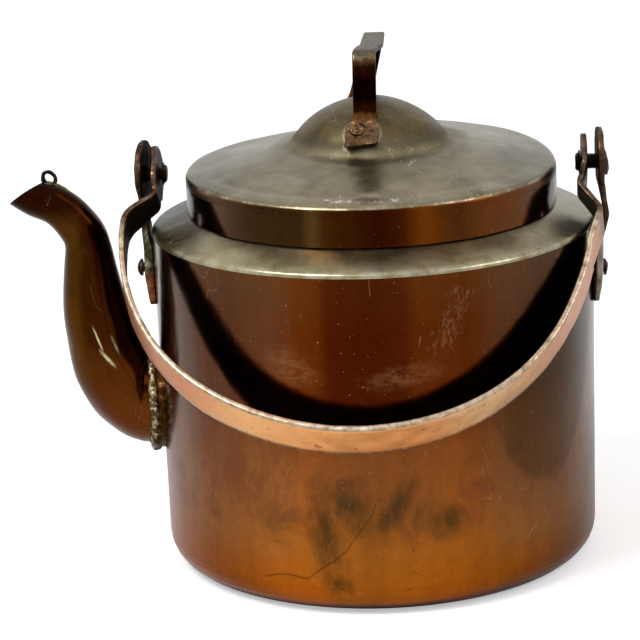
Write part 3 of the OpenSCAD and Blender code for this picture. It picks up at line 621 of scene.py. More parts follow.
def dark_look(name, dark=(30, 22, 16), pale=(84, 66, 50), metallic=1):
    look = Look(name, metallic)
    colour = look.ramp(look.noise(6, 4, 0.6, 0.4), [
        (0.3, rgb(*[v * 0.6 for v in dark])), (0.5, rgb(*dark)), (0.72, rgb(*pale))])
    colour = look.tone(colour, look.noise(1.2, 3, 0.6), 0.8, 1.2)
    rough = look.add(look.times(look.noise(5, 3), 0.2), 0.26)
    wavy = look.bump(look.noise(5, 3, 0.6), 0.3)
    return look.finish(colour, rough, look.bump(look.noise(1, 3, 0.6), 0.04, 0.6, wavy))


def handle_look():
    look = Look("handle_metal")
    # Dark up the legs, brown where they meet the dome, rubbed grey on top
    colour = look.ramp(look.add(look.z, look.times(look.noise(5, 3), 4)), [
        (216, rgb(84, 64, 44)), (226, rgb(108, 84, 60)), (230, rgb(104, 66, 30)), (233, rgb(46, 19, 5)),
        (236, rgb(34, 11, 3)), (239, rgb(13, 3, 1)), (248, rgb(9, 2, 1)), (251, rgb(30, 8, 2)),
        (254.5, rgb(44, 17, 5)), (257, rgb(86, 56, 26)), (258.6, rgb(96, 86, 66)), (261, rgb(78, 74, 64)),
        (264, rgb(76, 72, 62))])
    colour = look.mix(look.times(look.step(look.noise(4, 4, 0.65, 0.5, seed=41), 0.52, 0.66),
                                 look.step(look.z, 256, 258)), colour, rgb(112, 84, 58))
    colour = look.tone(colour, look.noise(5, 4, 0.65, 0.5, seed=2), 0.7, 1.3)
    colour = look.tone(colour, look.step(look.noise(2.2, 4, 0.7, seed=42), 0.4, 0.62), 0.72, 1.25)
    colour = specks(look, colour, 1.4, 0.22, rgb(150, 126, 98), 3)
    # Its top is dulled by oxide
    top = look.step(look.z, 257.6, 258.6)
    look.put(look.shader.inputs["Metallic"], look.add(look.times(top, -0.85), 1))
    look.put(look.shader.inputs["Specular IOR Level"], look.add(look.times(top, -0.35), 0.5))
    rough = look.add(look.times(look.noise(5, 3), 0.16), look.add(look.times(top, 0.15), 0.2))
    return look.finish(colour, rough, look.bump(look.noise(3, 3, 0.6), 0.2))


def ear_look():
    look = Look("ear_metal")
    face, right = look.attribute("face"), look.step(look.x, -1, 1)
    edge = look.ramp(look.noise(5, 4, 0.6, 0.4, seed=1), [
        (0.3, rgb(38, 26, 18)), (0.52, rgb(70, 50, 36)), (0.75, rgb(112, 86, 64))])
    # Painted shade: the inner face, in the gap beside the bail's eye, is near black
    dark = look.ramp(look.noise(6, 4, 0.6, 0.4, seed=2), [
        (0.3, rgb(3, 3, 2)), (0.55, rgb(10, 10, 7)), (0.8, rgb(34, 30, 20))])
    out = look.ramp(look.noise(7, 4, 0.6, 0.4, seed=3), [
        (0.3, rgb(62, 42, 28)), (0.6, rgb(98, 70, 48)), (0.8, rgb(136, 104, 78))])
    colour = look.mix(look.step(face, -0.4, -0.8), edge, dark)
    colour = look.mix(look.step(face, 0.4, 0.8), colour, out)
    # The feet: green with painted pale highlights above the rivet, red-brown below it on the left; on the right a
    # painted pale sheen on the outer face and painted shade along the front edge by the wall
    foot = look.step(look.z, look.add(look.times(right, -9), 172), look.add(look.times(right, -6), 167))
    green = look.ramp(look.noise(5, 4, 0.65, 0.4, seed=4), [
        (0.3, rgb(40, 36, 22)), (0.5, rgb(92, 88, 64)), (0.7, rgb(176, 176, 150))])
    red = look.ramp(look.noise(5, 4, 0.65, 0.4, seed=5), [
        (0.3, rgb(50, 28, 16)), (0.55, rgb(112, 64, 40)), (0.75, rgb(158, 106, 76))])
    left_foot = look.mix(look.step(look.z, 150, 146), green, red)
    pale = look.step(look.attribute("depth"), -0.3, 0.2)
    right_foot = look.mix(pale, rgb(34, 20, 14), look.ramp(
        look.noise(8, 4, 0.6, seed=6), [
        (0.35, rgb(100, 88, 72)), (0.55, rgb(142, 130, 114)), (0.75, rgb(176, 166, 150))]))
    colour = look.mix(foot, colour, look.mix(right, left_foot, right_foot))
    colour = look.tone(colour, look.noise(1.2, 3, 0.6), 0.85, 1.15)
    # Painted shade: the black inner face is made dull so it doesn't mirror, and so, mostly, is the pale sheen painted
    # on the right foot
    shaded_inner_face = look.times(look.step(face, -0.4, -0.8), look.step(look.z, 166, 172))
    dull = look.most(shaded_inner_face, look.times(look.times(look.times(foot, right), pale), 0.8))
    look.put(look.shader.inputs["Metallic"], look.add(look.times(dull, -0.98), 1))
    look.put(look.shader.inputs["Specular IOR Level"], look.add(look.times(dull, -0.46), 0.5))
    rough = look.add(look.times(look.noise(5, 3), 0.2), look.add(look.times(shaded_inner_face, 0.2), 0.28))
    wavy = look.bump(look.noise(6, 3, 0.6), 0.3)
    return look.finish(colour, rough, look.bump(look.noise(1, 3, 0.6), 0.03, 0.6, wavy))


def bail_look():
    look = Look("bail_copper")
    side = look.attribute("side")
    # The copper's colour along the bow, partly painted highlight where it is palest
    outer = look.ramp(look.x, [
        (-125, rgb(202, 128, 86)), (-90, rgb(214, 136, 84)), (-60, rgb(255, 194, 128)), (-20, rgb(255, 188, 114)),
        (20, rgb(252, 180, 108)), (55, rgb(255, 208, 150)), (90, rgb(208, 140, 94)), (115, rgb(202, 130, 82))])
    outer = look.tone(outer, look.noise(12, 4, 0.6, 0.5), 0.86, 1.12)
    outer = look.tone(outer, look.noise(1.6, 3, 0.6), 0.93, 1.06)
    outer = look.mix(look.times(look.step(look.noise(3.4, 4, 0.65, 0.6, seed=2), 0.62, 0.68), 0.55),
                     outer, rgb(120, 66, 34))
    edge = look.ramp(look.noise(3.5, 4, 0.65, 0.4, seed=4), [
        (0.3, rgb(132, 108, 84)), (0.46, rgb(176, 152, 126)), (0.62, rgb(206, 186, 162)), (0.8, rgb(232, 216, 196))])
    # Painted shade: the inner face, towards the wall, is near black
    inner = look.ramp(look.noise(9, 4, 0.6, 0.4, seed=6), [
        (0.3, rgb(10, 5, 3)), (0.6, rgb(26, 13, 8)), (0.8, rgb(58, 32, 20))])
    colour = look.mix(look.step(side, 0.25, 0.6), edge, outer)
    colour = look.mix(look.step(side, -0.25, -0.6), colour, inner)
    # Painted shade: the bends beside the eyes, and the eyes, are dark
    dark = look.ramp(look.noise(5, 4, 0.6, 0.3, seed=8), [
        (0.35, rgb(56, 40, 30)), (0.6, rgb(104, 80, 62)), (0.8, rgb(160, 134, 110))])
    dark = look.mix(look.step(side, 0.3, 0.7), dark, rgb(70, 44, 30))
    dark = look.mix(look.step(side, -0.3, -0.7), dark, inner)
    colour = look.mix(look.step(look.attribute("reach"), 48, 32), colour, dark)
    # The dark inner face is painted shade, made dull so it doesn't mirror
    shaded_inner_face = look.step(side, -0.25, -0.7)
    look.put(look.shader.inputs["Metallic"], look.add(look.times(shaded_inner_face, -0.95), 1))
    look.put(look.shader.inputs["Specular IOR Level"], look.add(look.times(shaded_inner_face, -0.35), 0.5))
    rough = look.add(look.times(look.noise(5, 4, 0.6), 0.2), look.add(look.times(shaded_inner_face, 0.15), 0.22))
    wavy = look.bump(look.noise(11, 2), 0.25)
    return look.finish(colour, rough, look.bump(look.noise(1.1, 3, 0.6), 0.03, 0.5, wavy))


def solder_look(name="solder", stops=((34, 24, 12), (96, 78, 46), (186, 174, 138), (248, 244, 226))):
    look = Look(name)
    colour = look.ramp(look.noise(2.6, 4, 0.7, 0.5), [
        (place, rgb(*tint)) for place, tint in zip((0.36, 0.5, 0.6, 0.74), stops)])
    return look.finish(colour, look.add(look.times(look.noise(2, 3), 0.3), 0.2), look.bump(look.noise(1.2, 4, 0.7), 0.3))


BODY, PATINA, SKIRT, SPOUT = body_look(), patina_look(), skirt_look(), spout_look()
DARK, EAR, HANDLE = dark_look("dark_metal"), ear_look(), handle_look()
PIN = dark_look("pin_metal", (18, 13, 9), (60, 44, 32))
BAIL, SOLDER = bail_look(), solder_look()
COLLAR_METAL = solder_look("collar_metal", ((26, 13, 5), (58, 32, 11), (92, 58, 24), (160, 132, 86)))
RIDGE = solder_look("ridge_metal", ((36, 30, 12), (72, 66, 34), (112, 106, 68), (166, 160, 122)))

for node, material in {
        "base_pan": BODY, "body_wall": BODY, "left_rivet_burr": BODY, "right_rivet_burr": BODY,
        "front_handle_burr": BODY, "back_handle_burr": BODY, "shoulder_neck": PATINA, "lid_top": PATINA,
        "lid_skirt": SKIRT, "spout_collar": COLLAR_METAL, "spout": SPOUT, "spout_solder": SOLDER, "spout_ring": DARK,
        "left_ear": EAR, "right_ear": EAR, "left_ear_rivet": DARK, "right_ear_rivet": DARK,
        "left_pivot_pin": PIN, "right_pivot_pin": PIN, "left_pivot_washer": PIN, "right_pivot_washer": PIN,
        "bail": BAIL, "lid_handle": HANDLE, "front_handle_rivet": DARK, "back_handle_rivet": DARK}.items():
    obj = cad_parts[node]
    if obj.material_slots:
        for s in obj.material_slots:
            s.material = material
    else:
        obj.data.materials.append(material)


# ---------------------------------------------------------------- lid

def lid_top():
    mid_r, mid_dome = LID_R - SHEET / 2, DOME_R - SHEET / 2
    foot = math.degrees(math.asin((DOME_FOOT - DOME_MID) / DOME_R))
    start = math.radians(foot + 12)
    path = rounded([(mid_r, SKIRT_TOP), (mid_r, RIM_H - SHEET / 2, 3),
                    (DOME_FOOT_R, DOME_FOOT - SHEET / 2, 5),
                    (mid_dome * math.cos(start), DOME_MID + mid_dome * math.sin(start))], 8)
    path += arc((0, DOME_MID), mid_dome, foot + 12, 90, 26)[1:]
    path[-1][0] = 0

    def wobble(a, r, z):
        # The hand-made cone stands higher towards its far right, and a soft groove runs inside its rim
        turn = (math.degrees(a) - 48 + 180) % 360 - 180
        bulge = 3.2 * bump_at(turn, 0, 85) * step_up(z, RIM_H - 2.5, RIM_H + 1) * step_up(r, 42, 74)
        groove = -0.5 * bump_at(r, 81, 4) * (0.4 + 0.6 * bump_at((math.degrees(a) + 180) % 360 - 30, 0, 120))
        ring = -0.5 * bump_at(r, DOME_FOOT_R + 2.5, 5) + 0.3 * bump_at(r, DOME_FOOT_R + 9, 6)
        v = Vector((r * math.cos(a) / 26, r * math.sin(a) / 26, z / 60))
        return 0, bulge + (groove + ring + 0.5 * noise.noise(v)) * step_up(z, RIM_H - 1, RIM_H + 1)

    closed = band(spaced(path, 1.8), SHEET)
    for p in closed:
        p[0] = max(0, p[0])
    points, faces = lathe(closed, 240, wobble)
    return piece("lid_cone_and_dome", points, faces, "lid", PATINA, ["lid_top"], 60)


lid_top()


def lid_skirt():
    foot = 178.62
    path = [np.array([LID_R - SHEET / 2, z]) for z in np.linspace(foot + 0.02, SKIRT_TOP - 0.02, 12)]

    def wobble(a, r, z):
        return 0.22 * noise.noise(Vector((math.cos(a) * 4, math.sin(a) * 4, z / 14))), 0

    points, faces = lathe(band(path, SHEET), 240, wobble)
    return piece("lid_band", points, faces, "lid", SKIRT, ["lid_skirt"], 60)


lid_skirt()


# ---------------------------------------------------------------- lid handle

FOOT_PLANE = DOME_R + SEAT + 1.25
FOOT_DOWN, FOOT_UP = 9.5, 5.5
HANDLE_TOP = DOME_MID + DOME_R + 28 - 1.4


def foot_at(s):
    a = math.radians(RIVET_ANGLE)
    return (-FOOT_PLANE * math.sin(a) - s * math.cos(a), DOME_MID + FOOT_PLANE * math.cos(a) - s * math.sin(a))


def handle():
    front = rounded([foot_at(FOOT_DOWN), foot_at(-FOOT_UP) + (4,), (-25, HANDLE_TOP, 5.2), (0, HANDLE_TOP)], 10)
    back_half = rounded([foot_at(FOOT_DOWN), foot_at(-FOOT_UP) + (4,), (-28.5, HANDLE_TOP, 4.2), (0, HANDLE_TOP)], 10)
    line = spaced(front + [np.array([-p[0], p[1]]) for p in back_half[-2::-1]], 1.2)
    run = np.concatenate([[0], np.cumsum([np.linalg.norm(b - a) for a, b in zip(line, line[1:])])])
    whole, back = run[-1], math.radians(-BACK_TURN)
    rings, last = [], len(line) - 1
    for i, (p, s) in enumerate(zip(line, run)):
        end = min(s, whole - s)
        width = np.interp(end, [0, 0.8, 2.5, 8, 12.5, 14.5, 20], [6.9, 7.7, 8.0, 8.1, 7.7, 6.2, 5.7])
        middle = whole / 2
        width *= 1 - 0.09 * bump_at(s, middle + 24, 26)
        shift = np.interp(s, [0, 12, 18, middle - 24, middle - 16, middle - 8, middle + 25, whole - 14, whole],
                          [-2.9, -2.2, -1.0, -0.6, 0.4, 2.7, 3.3, foot_at(-FOOT_UP)[0] * math.sin(back),
                           foot_at(FOOT_DOWN)[0] * math.sin(back)])
        turn = np.interp(s, [0, middle - 24, middle - 10, middle + 25, whole - 16, whole],
                         [0.02, 0, 0.0, 0, back, back])
        along = unit(line[min(i + 1, last)] - line[max(i - 1, 0)])
        y = p[0] * math.cos(turn) if s > whole / 2 else p[0]
        across = np.array([math.cos(turn), math.sin(turn), 0])
        out = np.array([along[1] * math.sin(turn), -along[1] * math.cos(turn), along[0]])
        # The front foot ends aslant, lower on its left
        slant = 0.9 * step_up(6 - s, 0, 6)
        ring = []
        for a, b in section(width, 1.2 + 0.15 * step_up(10 - end, 0, 8), 0.85, 8):
            q = np.array([shift, y, p[1]]) + across * a + out * b
            q[2] += slant * a / 8.5 * math.sin(math.radians(RIVET_ANGLE))
            q[1] += slant * a / 8.5 * math.cos(math.radians(RIVET_ANGLE))
            ring.append(q)
        rings.append(ring)
    points, faces = loft(rings)
    obj = piece("handle_strap", points, faces, "lid", HANDLE, ["lid_handle"], 50)

    # Crumpled feet, nearly even strap
    roughen(obj, 0.24, 3.4, 2, lambda p: 0.25 + 4.4 * step_up(230 - p.z, 0, 4))
    return roughen(obj, 0.5, 1.8, 12, lambda p: step_up(229 - p.z, 0, 3))


handle()


def handle_rivet(place):
    turn = 0 if place == "front" else math.radians(180 - BACK_TURN)
    a = math.radians(RIVET_ANGLE)
    axis = np.array([math.sin(turn) * math.sin(a), -math.cos(turn) * math.sin(a), math.cos(a)])
    shoulder = DOME_R + 2 * SEAT + 2.5
    burr = math.sqrt((DOME_R - SHEET) ** 2 - 5.2 ** 2) - 3 * SEAT
    across = 4.1 if place == "front" else 3.7
    profile = [(0, burr - 1.9), (2.4, burr - 1.9), (3, burr - 0.9), (2, burr - 0.9), (2, shoulder)]
    profile += [(across * math.cos(math.radians(t)), shoulder + 0.2 + 1.9 * math.sin(math.radians(t)))
                for t in range(0, 91, 10)]
    profile[-1] = (0, shoulder + 2.1)

    profile = spaced([np.array(p, float) for p in profile], 0.5)
    points, faces = turned(profile, (0, 0, DOME_MID), axis, 56)
    # The head is beaten down in a swirl, and the front one lies off its shank to the left
    u, v = frame_of(axis)
    centre = np.array([0, 0, DOME_MID])
    for i, q in enumerate(points):
        along, a, b = (q - centre) @ axis, (q - centre) @ u, (q - centre) @ v
        high = step_up(along, shoulder - 1.1, shoulder - 0.1)
        if high:
            r, angle = math.hypot(a, b), math.atan2(b, a)
            swirl = step_up(along, shoulder - 0.1, shoulder + 0.4) * step_up(r, 0, 1.2)
            q = q + axis * swirl * 0.55 * math.sin(angle - 1.9 * r + 1)
            if place == "front":
                q = q + np.array([-5.0, 0, 0]) * high
            points[i] = q
    obj = piece(place + "_rivet_head", points, faces, "lid", HANDLE, [place + "_handle_rivet"], 50)
    return roughen(obj, 0.4, 1.7, 4, lambda p: 1 if (p - Vector(axis * shoulder) - Vector((0, 0, DOME_MID))).dot(
        Vector(axis)) > 0.4 else 0)


handle_rivet("front")
handle_rivet("back")


# ---------------------------------------------------------------- shoulder and neck

def shoulder_neck():
    mid, neck = BODY_R - SHEET / 2, NECK_R - SHEET / 2
    bend, roll = 0.98 * ROLL_R, neck - 2 * ROLL_R
    path = rounded([(mid, WALL_TOP), (mid, SHOULDER_H, 1.5), (neck, NECK_FOOT, 1.2), (neck, NECK_TOP, bend),
                    (roll, NECK_TOP, bend), (roll, NECK_TOP - 1.6 * ROLL_R)], 6)

    def wobble(a, r, z):
        v = Vector((r * math.cos(a) / 21, r * math.sin(a) / 21, 3.0))
        return 0, 0.42 * noise.noise(v) * step_up(BODY_R - r, 1, 5) * step_up(r, NECK_R, NECK_R + 4)

    points, faces = lathe(band(spaced(path, 1.8), SHEET), 260, wobble)
    return piece("shoulder_sheet", points, faces, "kettle", PATINA, ["shoulder_neck"], 60)


shoulder_neck()


# ---------------------------------------------------------------- spout

SPOUT_STATIONS = [
    (5.5, 0.5, 176, SPOUT_R + 0.3), (11.5, 5.5, 158, SPOUT_R + 1.2), (18.5, 14, 144, SPOUT_R + 0.6),
    (24.3, 26.5, 129, 20.7), (27.8, 42.5, 116, 18.2), (29.6, 55, 108, 16.1), (30.6, 67, 105, 14.1),
    (31.0, 78, 105, 12.4), (32.4, 87.5, 116, 11.1), (37.2, 94.9, 133, 10.6), (43.9, 101.3, 136, 10.1),
    (51.4, 105.5, 133, 11), (59.6, 109.4, 122, 10.5)]
COLLAR_X = wall_r(SPOUT_H) + COLLAR


def spout():
    sides = 64
    top = SPOUT_STATIONS[-1]

    def ring(s, shrink):
        up, r = math.radians(s[2] - 90), s[3] - shrink
        across = r * np.interp(s[1], [0, 30, 100, top[1]], [1, 0.93, 0.93, 8.8 / top[3]])
        out = []
        late = step_up(s[1], 99, top[1])
        for k in range(sides):
            a = 2 * math.pi * k / sides
            c = math.cos(a)
            # The mouth is cut aslant, its near lip higher than its far one
            lift = -2.1 * late * math.sin(a)
            out.append((-COLLAR_X - s[0] + r * c * math.cos(up) - lift * math.sin(up), across * math.sin(a),
                        SPOUT_H + s[1] + r * c * math.sin(up) + lift * math.cos(up)))
        return out

    def root(r):
        out = []
        for k in range(sides):
            a = 2 * math.pi * k / sides
            y, z = r * math.sin(a), SPOUT_H + r * math.cos(a)
            out.append((-math.sqrt((wall_r(z) + COLLAR + 0.05) ** 2 - y ** 2), y, z))
        return out

    stations = smooth(SPOUT_STATIONS, 7)
    outside = [root(SPOUT_R)] + [ring(s, 0) for s in stations]
    lip = [ring(stations[-1], 0.25), ring(stations[-1], 0.95)]
    inside = [root(SPOUT_R - SHEET)] + [ring(s, SHEET) for s in stations]
    points, faces = loft(outside + lip + inside[::-1], closed=True)
    obj = piece("spout_tube", points, faces, "kettle", SPOUT, ["spout"], 50)
    return roughen(obj, 0.6, 15, 3, lambda p: step_up(-p.x, COLLAR_X + 3, COLLAR_X + 12))


spout()


def spout_ring():
    """A loop of wire set in solder on the ridge behind the mouth."""
    middle, along, rise = np.array([-160.6, 0, 195.6]), unit([1, 0, -0.55]), unit([0.35, 0, 1])
    rings = []
    for t in np.linspace(0, 360, 44, endpoint=False):
        a = math.radians(t)
        d = along * math.cos(a) * 3.4 + rise * math.sin(a) * 3.1
        thick = 1.0 + 0.25 * step_up(-math.sin(a), 0, 1)
        out = unit(d)
        rings.append([middle + d + (out * math.cos(b) + np.array([0, 1, 0]) * math.sin(b)) * thick
                      for b in np.linspace(0, 2 * math.pi, 14, endpoint=False)])
    points, faces = loft(rings, closed=True)
    obj = piece("ring_wire", points, faces, "kettle", DARK, ["spout_ring"], 50)
    return roughen(obj, 0.25, 1.8, 6)


def ridge_solder():
    """A thin greenish run of solder down the spout's ridge from the wire loop."""
    line = smooth([(-164, 193.3), (-160, 193.2), (-155.6, 191.5), (-151.2, 188.6), (-147.4, 184.6)], 10)
    rings, last = [], len(line) - 1
    for i, p in enumerate(line):
        t = unit(line[min(i + 1, last)] - line[max(i - 1, 0)])
        n, share = np.array([-t[1], t[0]]), i / last
        wide = 0.3 + 2.1 * math.sqrt(max(0, 1 - (2 * share - 0.85) ** 2)) if share < 0.92 else 0.8 - 7 * (share - 0.92)
        high = 0.3 + 0.75 * step_up(share, 0, 0.1) * (1 - step_up(share, 0.7, 1))
        ring = []
        for b in np.linspace(0, 2 * math.pi, 16, endpoint=False):
            flat = p + n * (high * math.sin(b) - 0.35)
            ring.append((flat[0], wide * math.cos(b), flat[1]))
        rings.append(ring)
    points, faces = loft(rings)
    obj = piece("ridge_solder", points, faces, "kettle", RIDGE, (), 60)
    return roughen(obj, 0.3, 1.6, 14)


spout_ring()
ridge_solder()


def spout_solder():
    """A rough bead in the corner between the spout and its collar, lumpier in front."""
    rings = []
    for i in range(150):
        a = 2 * math.pi * i / 150
        front = 0.5 - 0.5 * math.sin(a)
        n = noise.noise(Vector((math.cos(a) * 5, math.sin(a) * 5, 1)))
        r = 1.8 + 0.95 * front + 0.6 * n
        mid = SPOUT_R + 1.5 + 0.3 * n
        y, z = mid * math.sin(a), SPOUT_H + mid * math.cos(a)
        x = -math.sqrt((wall_r(z) + COLLAR) ** 2 - y ** 2) - 0.5 * r
        rings.append([(x + r * math.cos(b), y + r * math.sin(b) * math.sin(a), z + r * math.sin(b) * math.cos(a))
                      for b in np.linspace(0, 2 * math.pi, 16, endpoint=False)])
    points, faces = loft(rings, closed=True)
    obj = piece("solder_bead", points, faces, "kettle", SOLDER, ["spout_solder"], 60)
    roughen(obj, 0.55, 2.6, 8)
    return roughen(obj, 0.3, 1.1, 9)


spout_solder()


# ---------------------------------------------------------------- ears, rivets and pins

def ear(side):
    """One forged ear: rings of bevelled rectangles from its foot to the top of its eye."""
    left = side == "left"
    sign = -1 if left else 1
    low = KNEE_H - (40 if left else 42.3)
    face = BODY_R + (1.4 if left else 1.53) * EAR_T
    knee = face + (0.2 if left else 1.0) * EAR_T
    outer_x, eye = EAR_X + EAR_T, PIVOT_H + 2
    outer = rounded([(BODY_R + 2.6, low), (face - 0.9, low + 6, 2), (face, low + 14.5, 6),
                     (face + 0.1, KNEE_H - 12, 8), (knee, KNEE_H, 3), (outer_x, PIVOT_H - 8, 15),
                     (outer_x, PIVOT_H + 20)], 8)
    inner = rounded([(BODY_R - 1, low), (BODY_R - 0.2, KNEE_H - 14), (BODY_R + 0.6, KNEE_H - 7, 4),
                     (knee - EAR_T, KNEE_H + 2, 3), (EAR_X, PIVOT_H - 10, 15), (EAR_X, PIVOT_H + 20)], 8)
    out_z, out_x = [p[1] for p in outer], [p[0] for p in outer]
    in_z, in_x = [p[1] for p in inner], [p[0] for p in inner]
    top = eye + EAR_EYE_R
    levels = list(np.arange(low, eye, 1.3)) + [eye + EAR_EYE_R * math.sin(t) for t in np.linspace(0, math.pi / 2, 18)]
    rings, marks, depths = [], [], []
    for z in levels:
        half = np.interp(z, [low, low + 0.7, low + 2, low + 4.5, KNEE_H - 10, KNEE_H + 4, PIVOT_H - 14],
                         [7.5, 8.6, 9.4, 10, 9.5, 7.5, 10.2 if left else 8.3])
        round_half = math.sqrt(max(0, EAR_EYE_R ** 2 - (z - eye) ** 2))
        half = max(half, round_half) if z < eye else round_half
        half = max(half, 0.4)
        x0, x1 = np.interp(z, in_z, in_x), np.interp(z, out_z, out_x)
        x0 = max(x0, wall_r(min(z, WALL_TOP)) + 2 * SEAT) if z < KNEE_H - 1 else x0
        yaw = math.radians(7.5 * step_up(z, 174, 190)) if left else math.radians(1.5 * step_up(z, 174, 190))
        middle, thick = (x0 + x1) / 2, (x1 - x0) / 2
        if z > top - 1.6:
            # Its top is rounded over
            thick *= max(0.2, math.sqrt(max(0, 1 - ((z - top + 1.6) / 1.6) ** 2)))
        # The right foot sits a little to the front and goes further round the wall
        aside = 0 if left else step_up(KNEE_H - 4 - z, 0, 14)
        ring = []
        for a, b in section(half + 2 * aside, thick, 0.7, 6):
            a -= 5 * aside
            # Near the wall the inner face follows its curve
            sink = 0
            if z < KNEE_H - 8 and (b < 0 or not left):
                sink = BODY_R - math.sqrt(BODY_R ** 2 - a ** 2)
            x, y = middle + b - sink - EAR_X - (0.5 * step_up(z, 176, 186) if left else 0), a
            ring.append((sign * (EAR_X + x * math.cos(yaw) + y * math.sin(yaw) * (-1)),
                         y * math.cos(yaw) + x * math.sin(yaw), z))
            marks.append(max(-1, min(1, b / thick)) if abs(a + 5 * aside) < half + 2 * aside - 0.5 else 0)
            depths.append(max(-1, min(1, b / thick)))
        rings.append(ring)
    points, faces = loft(rings)
    obj = piece(side + "_ear_plate", points, faces, "kettle", EAR, [side + "_ear"], 50,
                {"face": marks, "depth": depths})
    return roughen(obj, 0.25, 5, 3 if left else 7, lambda p: step_up(p.z, 100, 134))


ear("left")
ear("right")


def ear_rivet(side):
    sign = -1 if side == "left" else 1
    h = KNEE_H - (40 if side == "left" else 45) + 17.5
    foot = BODY_R + (1.4 if side == "left" else 1.53) * EAR_T + 0.15
    head, stand, aside = (2.2, 2.1, 0) if side == "left" else (1.9, 0, -5)
    tail = math.sqrt((wall_r(h - 5.2) - SHEET) ** 2 - 5.2 ** 2) - 2 * SEAT - 0.9
    profile = [(0, tail - 1.1), (2.4, tail - 1.1), (3.6, tail - 0.4), (3.6, tail), (2.4, tail), (2.4, foot + stand - 0.3)]
    profile += [(4.3 * math.cos(math.radians(t)), foot + stand + head * math.sin(math.radians(t)))
                for t in range(-10, 91, 10)]
    profile[-1] = (0, foot + stand + head)
    points, faces = turned(profile, (0, 0, h), (sign, 0, 0), 36)
    # The right head lies to the front of its shank
    points = [(x, y + aside * step_up(abs(x), foot - 2.4, foot - 0.8), z) for x, y, z in points]
    obj = piece(side + "_foot_rivet", points, faces, "kettle", DARK, [side + "_ear_rivet"], 50)
    return roughen(obj, 0.5, 2.6, 5, lambda p: step_up(abs(p.x), foot, foot + 1))


ear_rivet("left")
ear_rivet("right")


def pivot_pin(side):
    sign = -1 if side == "left" else 1
    eye_out = EAR_X - 5.3
    washer = eye_out - BAIL_T - 0.3
    tail, head = washer - 0.8 - SEAT, EAR_X + EAR_T + SEAT
    thick = 1.3 if side == "left" else 2.2
    profile = [(0, tail - 1.5), (3.7, tail - 1.5), (4.5, tail - 0.7), (4.5, tail), (3, tail), (3, eye_out + 0.3),
               (3.75, eye_out + 0.3), (3.75, EAR_X - SEAT), (3, EAR_X - SEAT), (3, head), (7, head),
               (7, head + 0.4 * thick), (4.2, head + thick), (0, head + thick)]
    profile = spaced([np.array(p, float) for p in profile], 1.2)
    points, faces = turned(profile, (0, 0, PIVOT_H), (sign, 0, 0), 40)
    if side == "right":
        # The outer head is beaten to a wedge that hangs out at its foot
        points = [(x + max(0, PIVOT_H + 3 - z) * 0.13 * step_up(x, head, head + 0.5)
                   - max(0, z - PIVOT_H) * 0.1 * step_up(x, head + 0.8, head + 2), y * (1 - 0.25 * step_up(x, head, head + 1)), z)
                  for x, y, z in points]
    obj = piece(side + "_pin", points, faces, "kettle", PIN, [side + "_pivot_pin"], 40)
    return roughen(obj, 0.3, 3, 11, lambda p: 1 if abs(abs(p.x) - 105.3) > 2 else 0)


# ---------------------------------------------------------------- bail

BAIL_T, BAIL_W, WAIST_W, EYE_R = 2.7, 23, 13, 14
BOW_R, BOW_SHIFT, BOW_DROP = 114.4, 6.6, 41.6
EYE_X = 112 - 5.3 - BAIL_T / 2
BOW_MID = BOW_R + BAIL_T / 2

pivot_pin("left")
pivot_pin("right")


def bail_lean():
    """The bail tips until the lower inner edge of its bow meets the wall."""
    def gap(a, lean):
        x, d = -BOW_SHIFT + BOW_R * math.cos(a), BOW_DROP + BOW_R * math.sin(a)
        y = d * math.cos(lean) - BAIL_W / 2 * math.sin(lean)
        return math.hypot(x, y) - wall_r(PIVOT_H - d * math.sin(lean) - BAIL_W / 2 * math.cos(lean))

    low, high = math.radians(15), math.radians(65)
    for _ in range(24):
        middle = (low + high) / 2
        if min(gap(math.radians(t), middle) for t in range(30, 151, 2)) > 0.45:
            low = middle
        else:
            high = middle
    return low


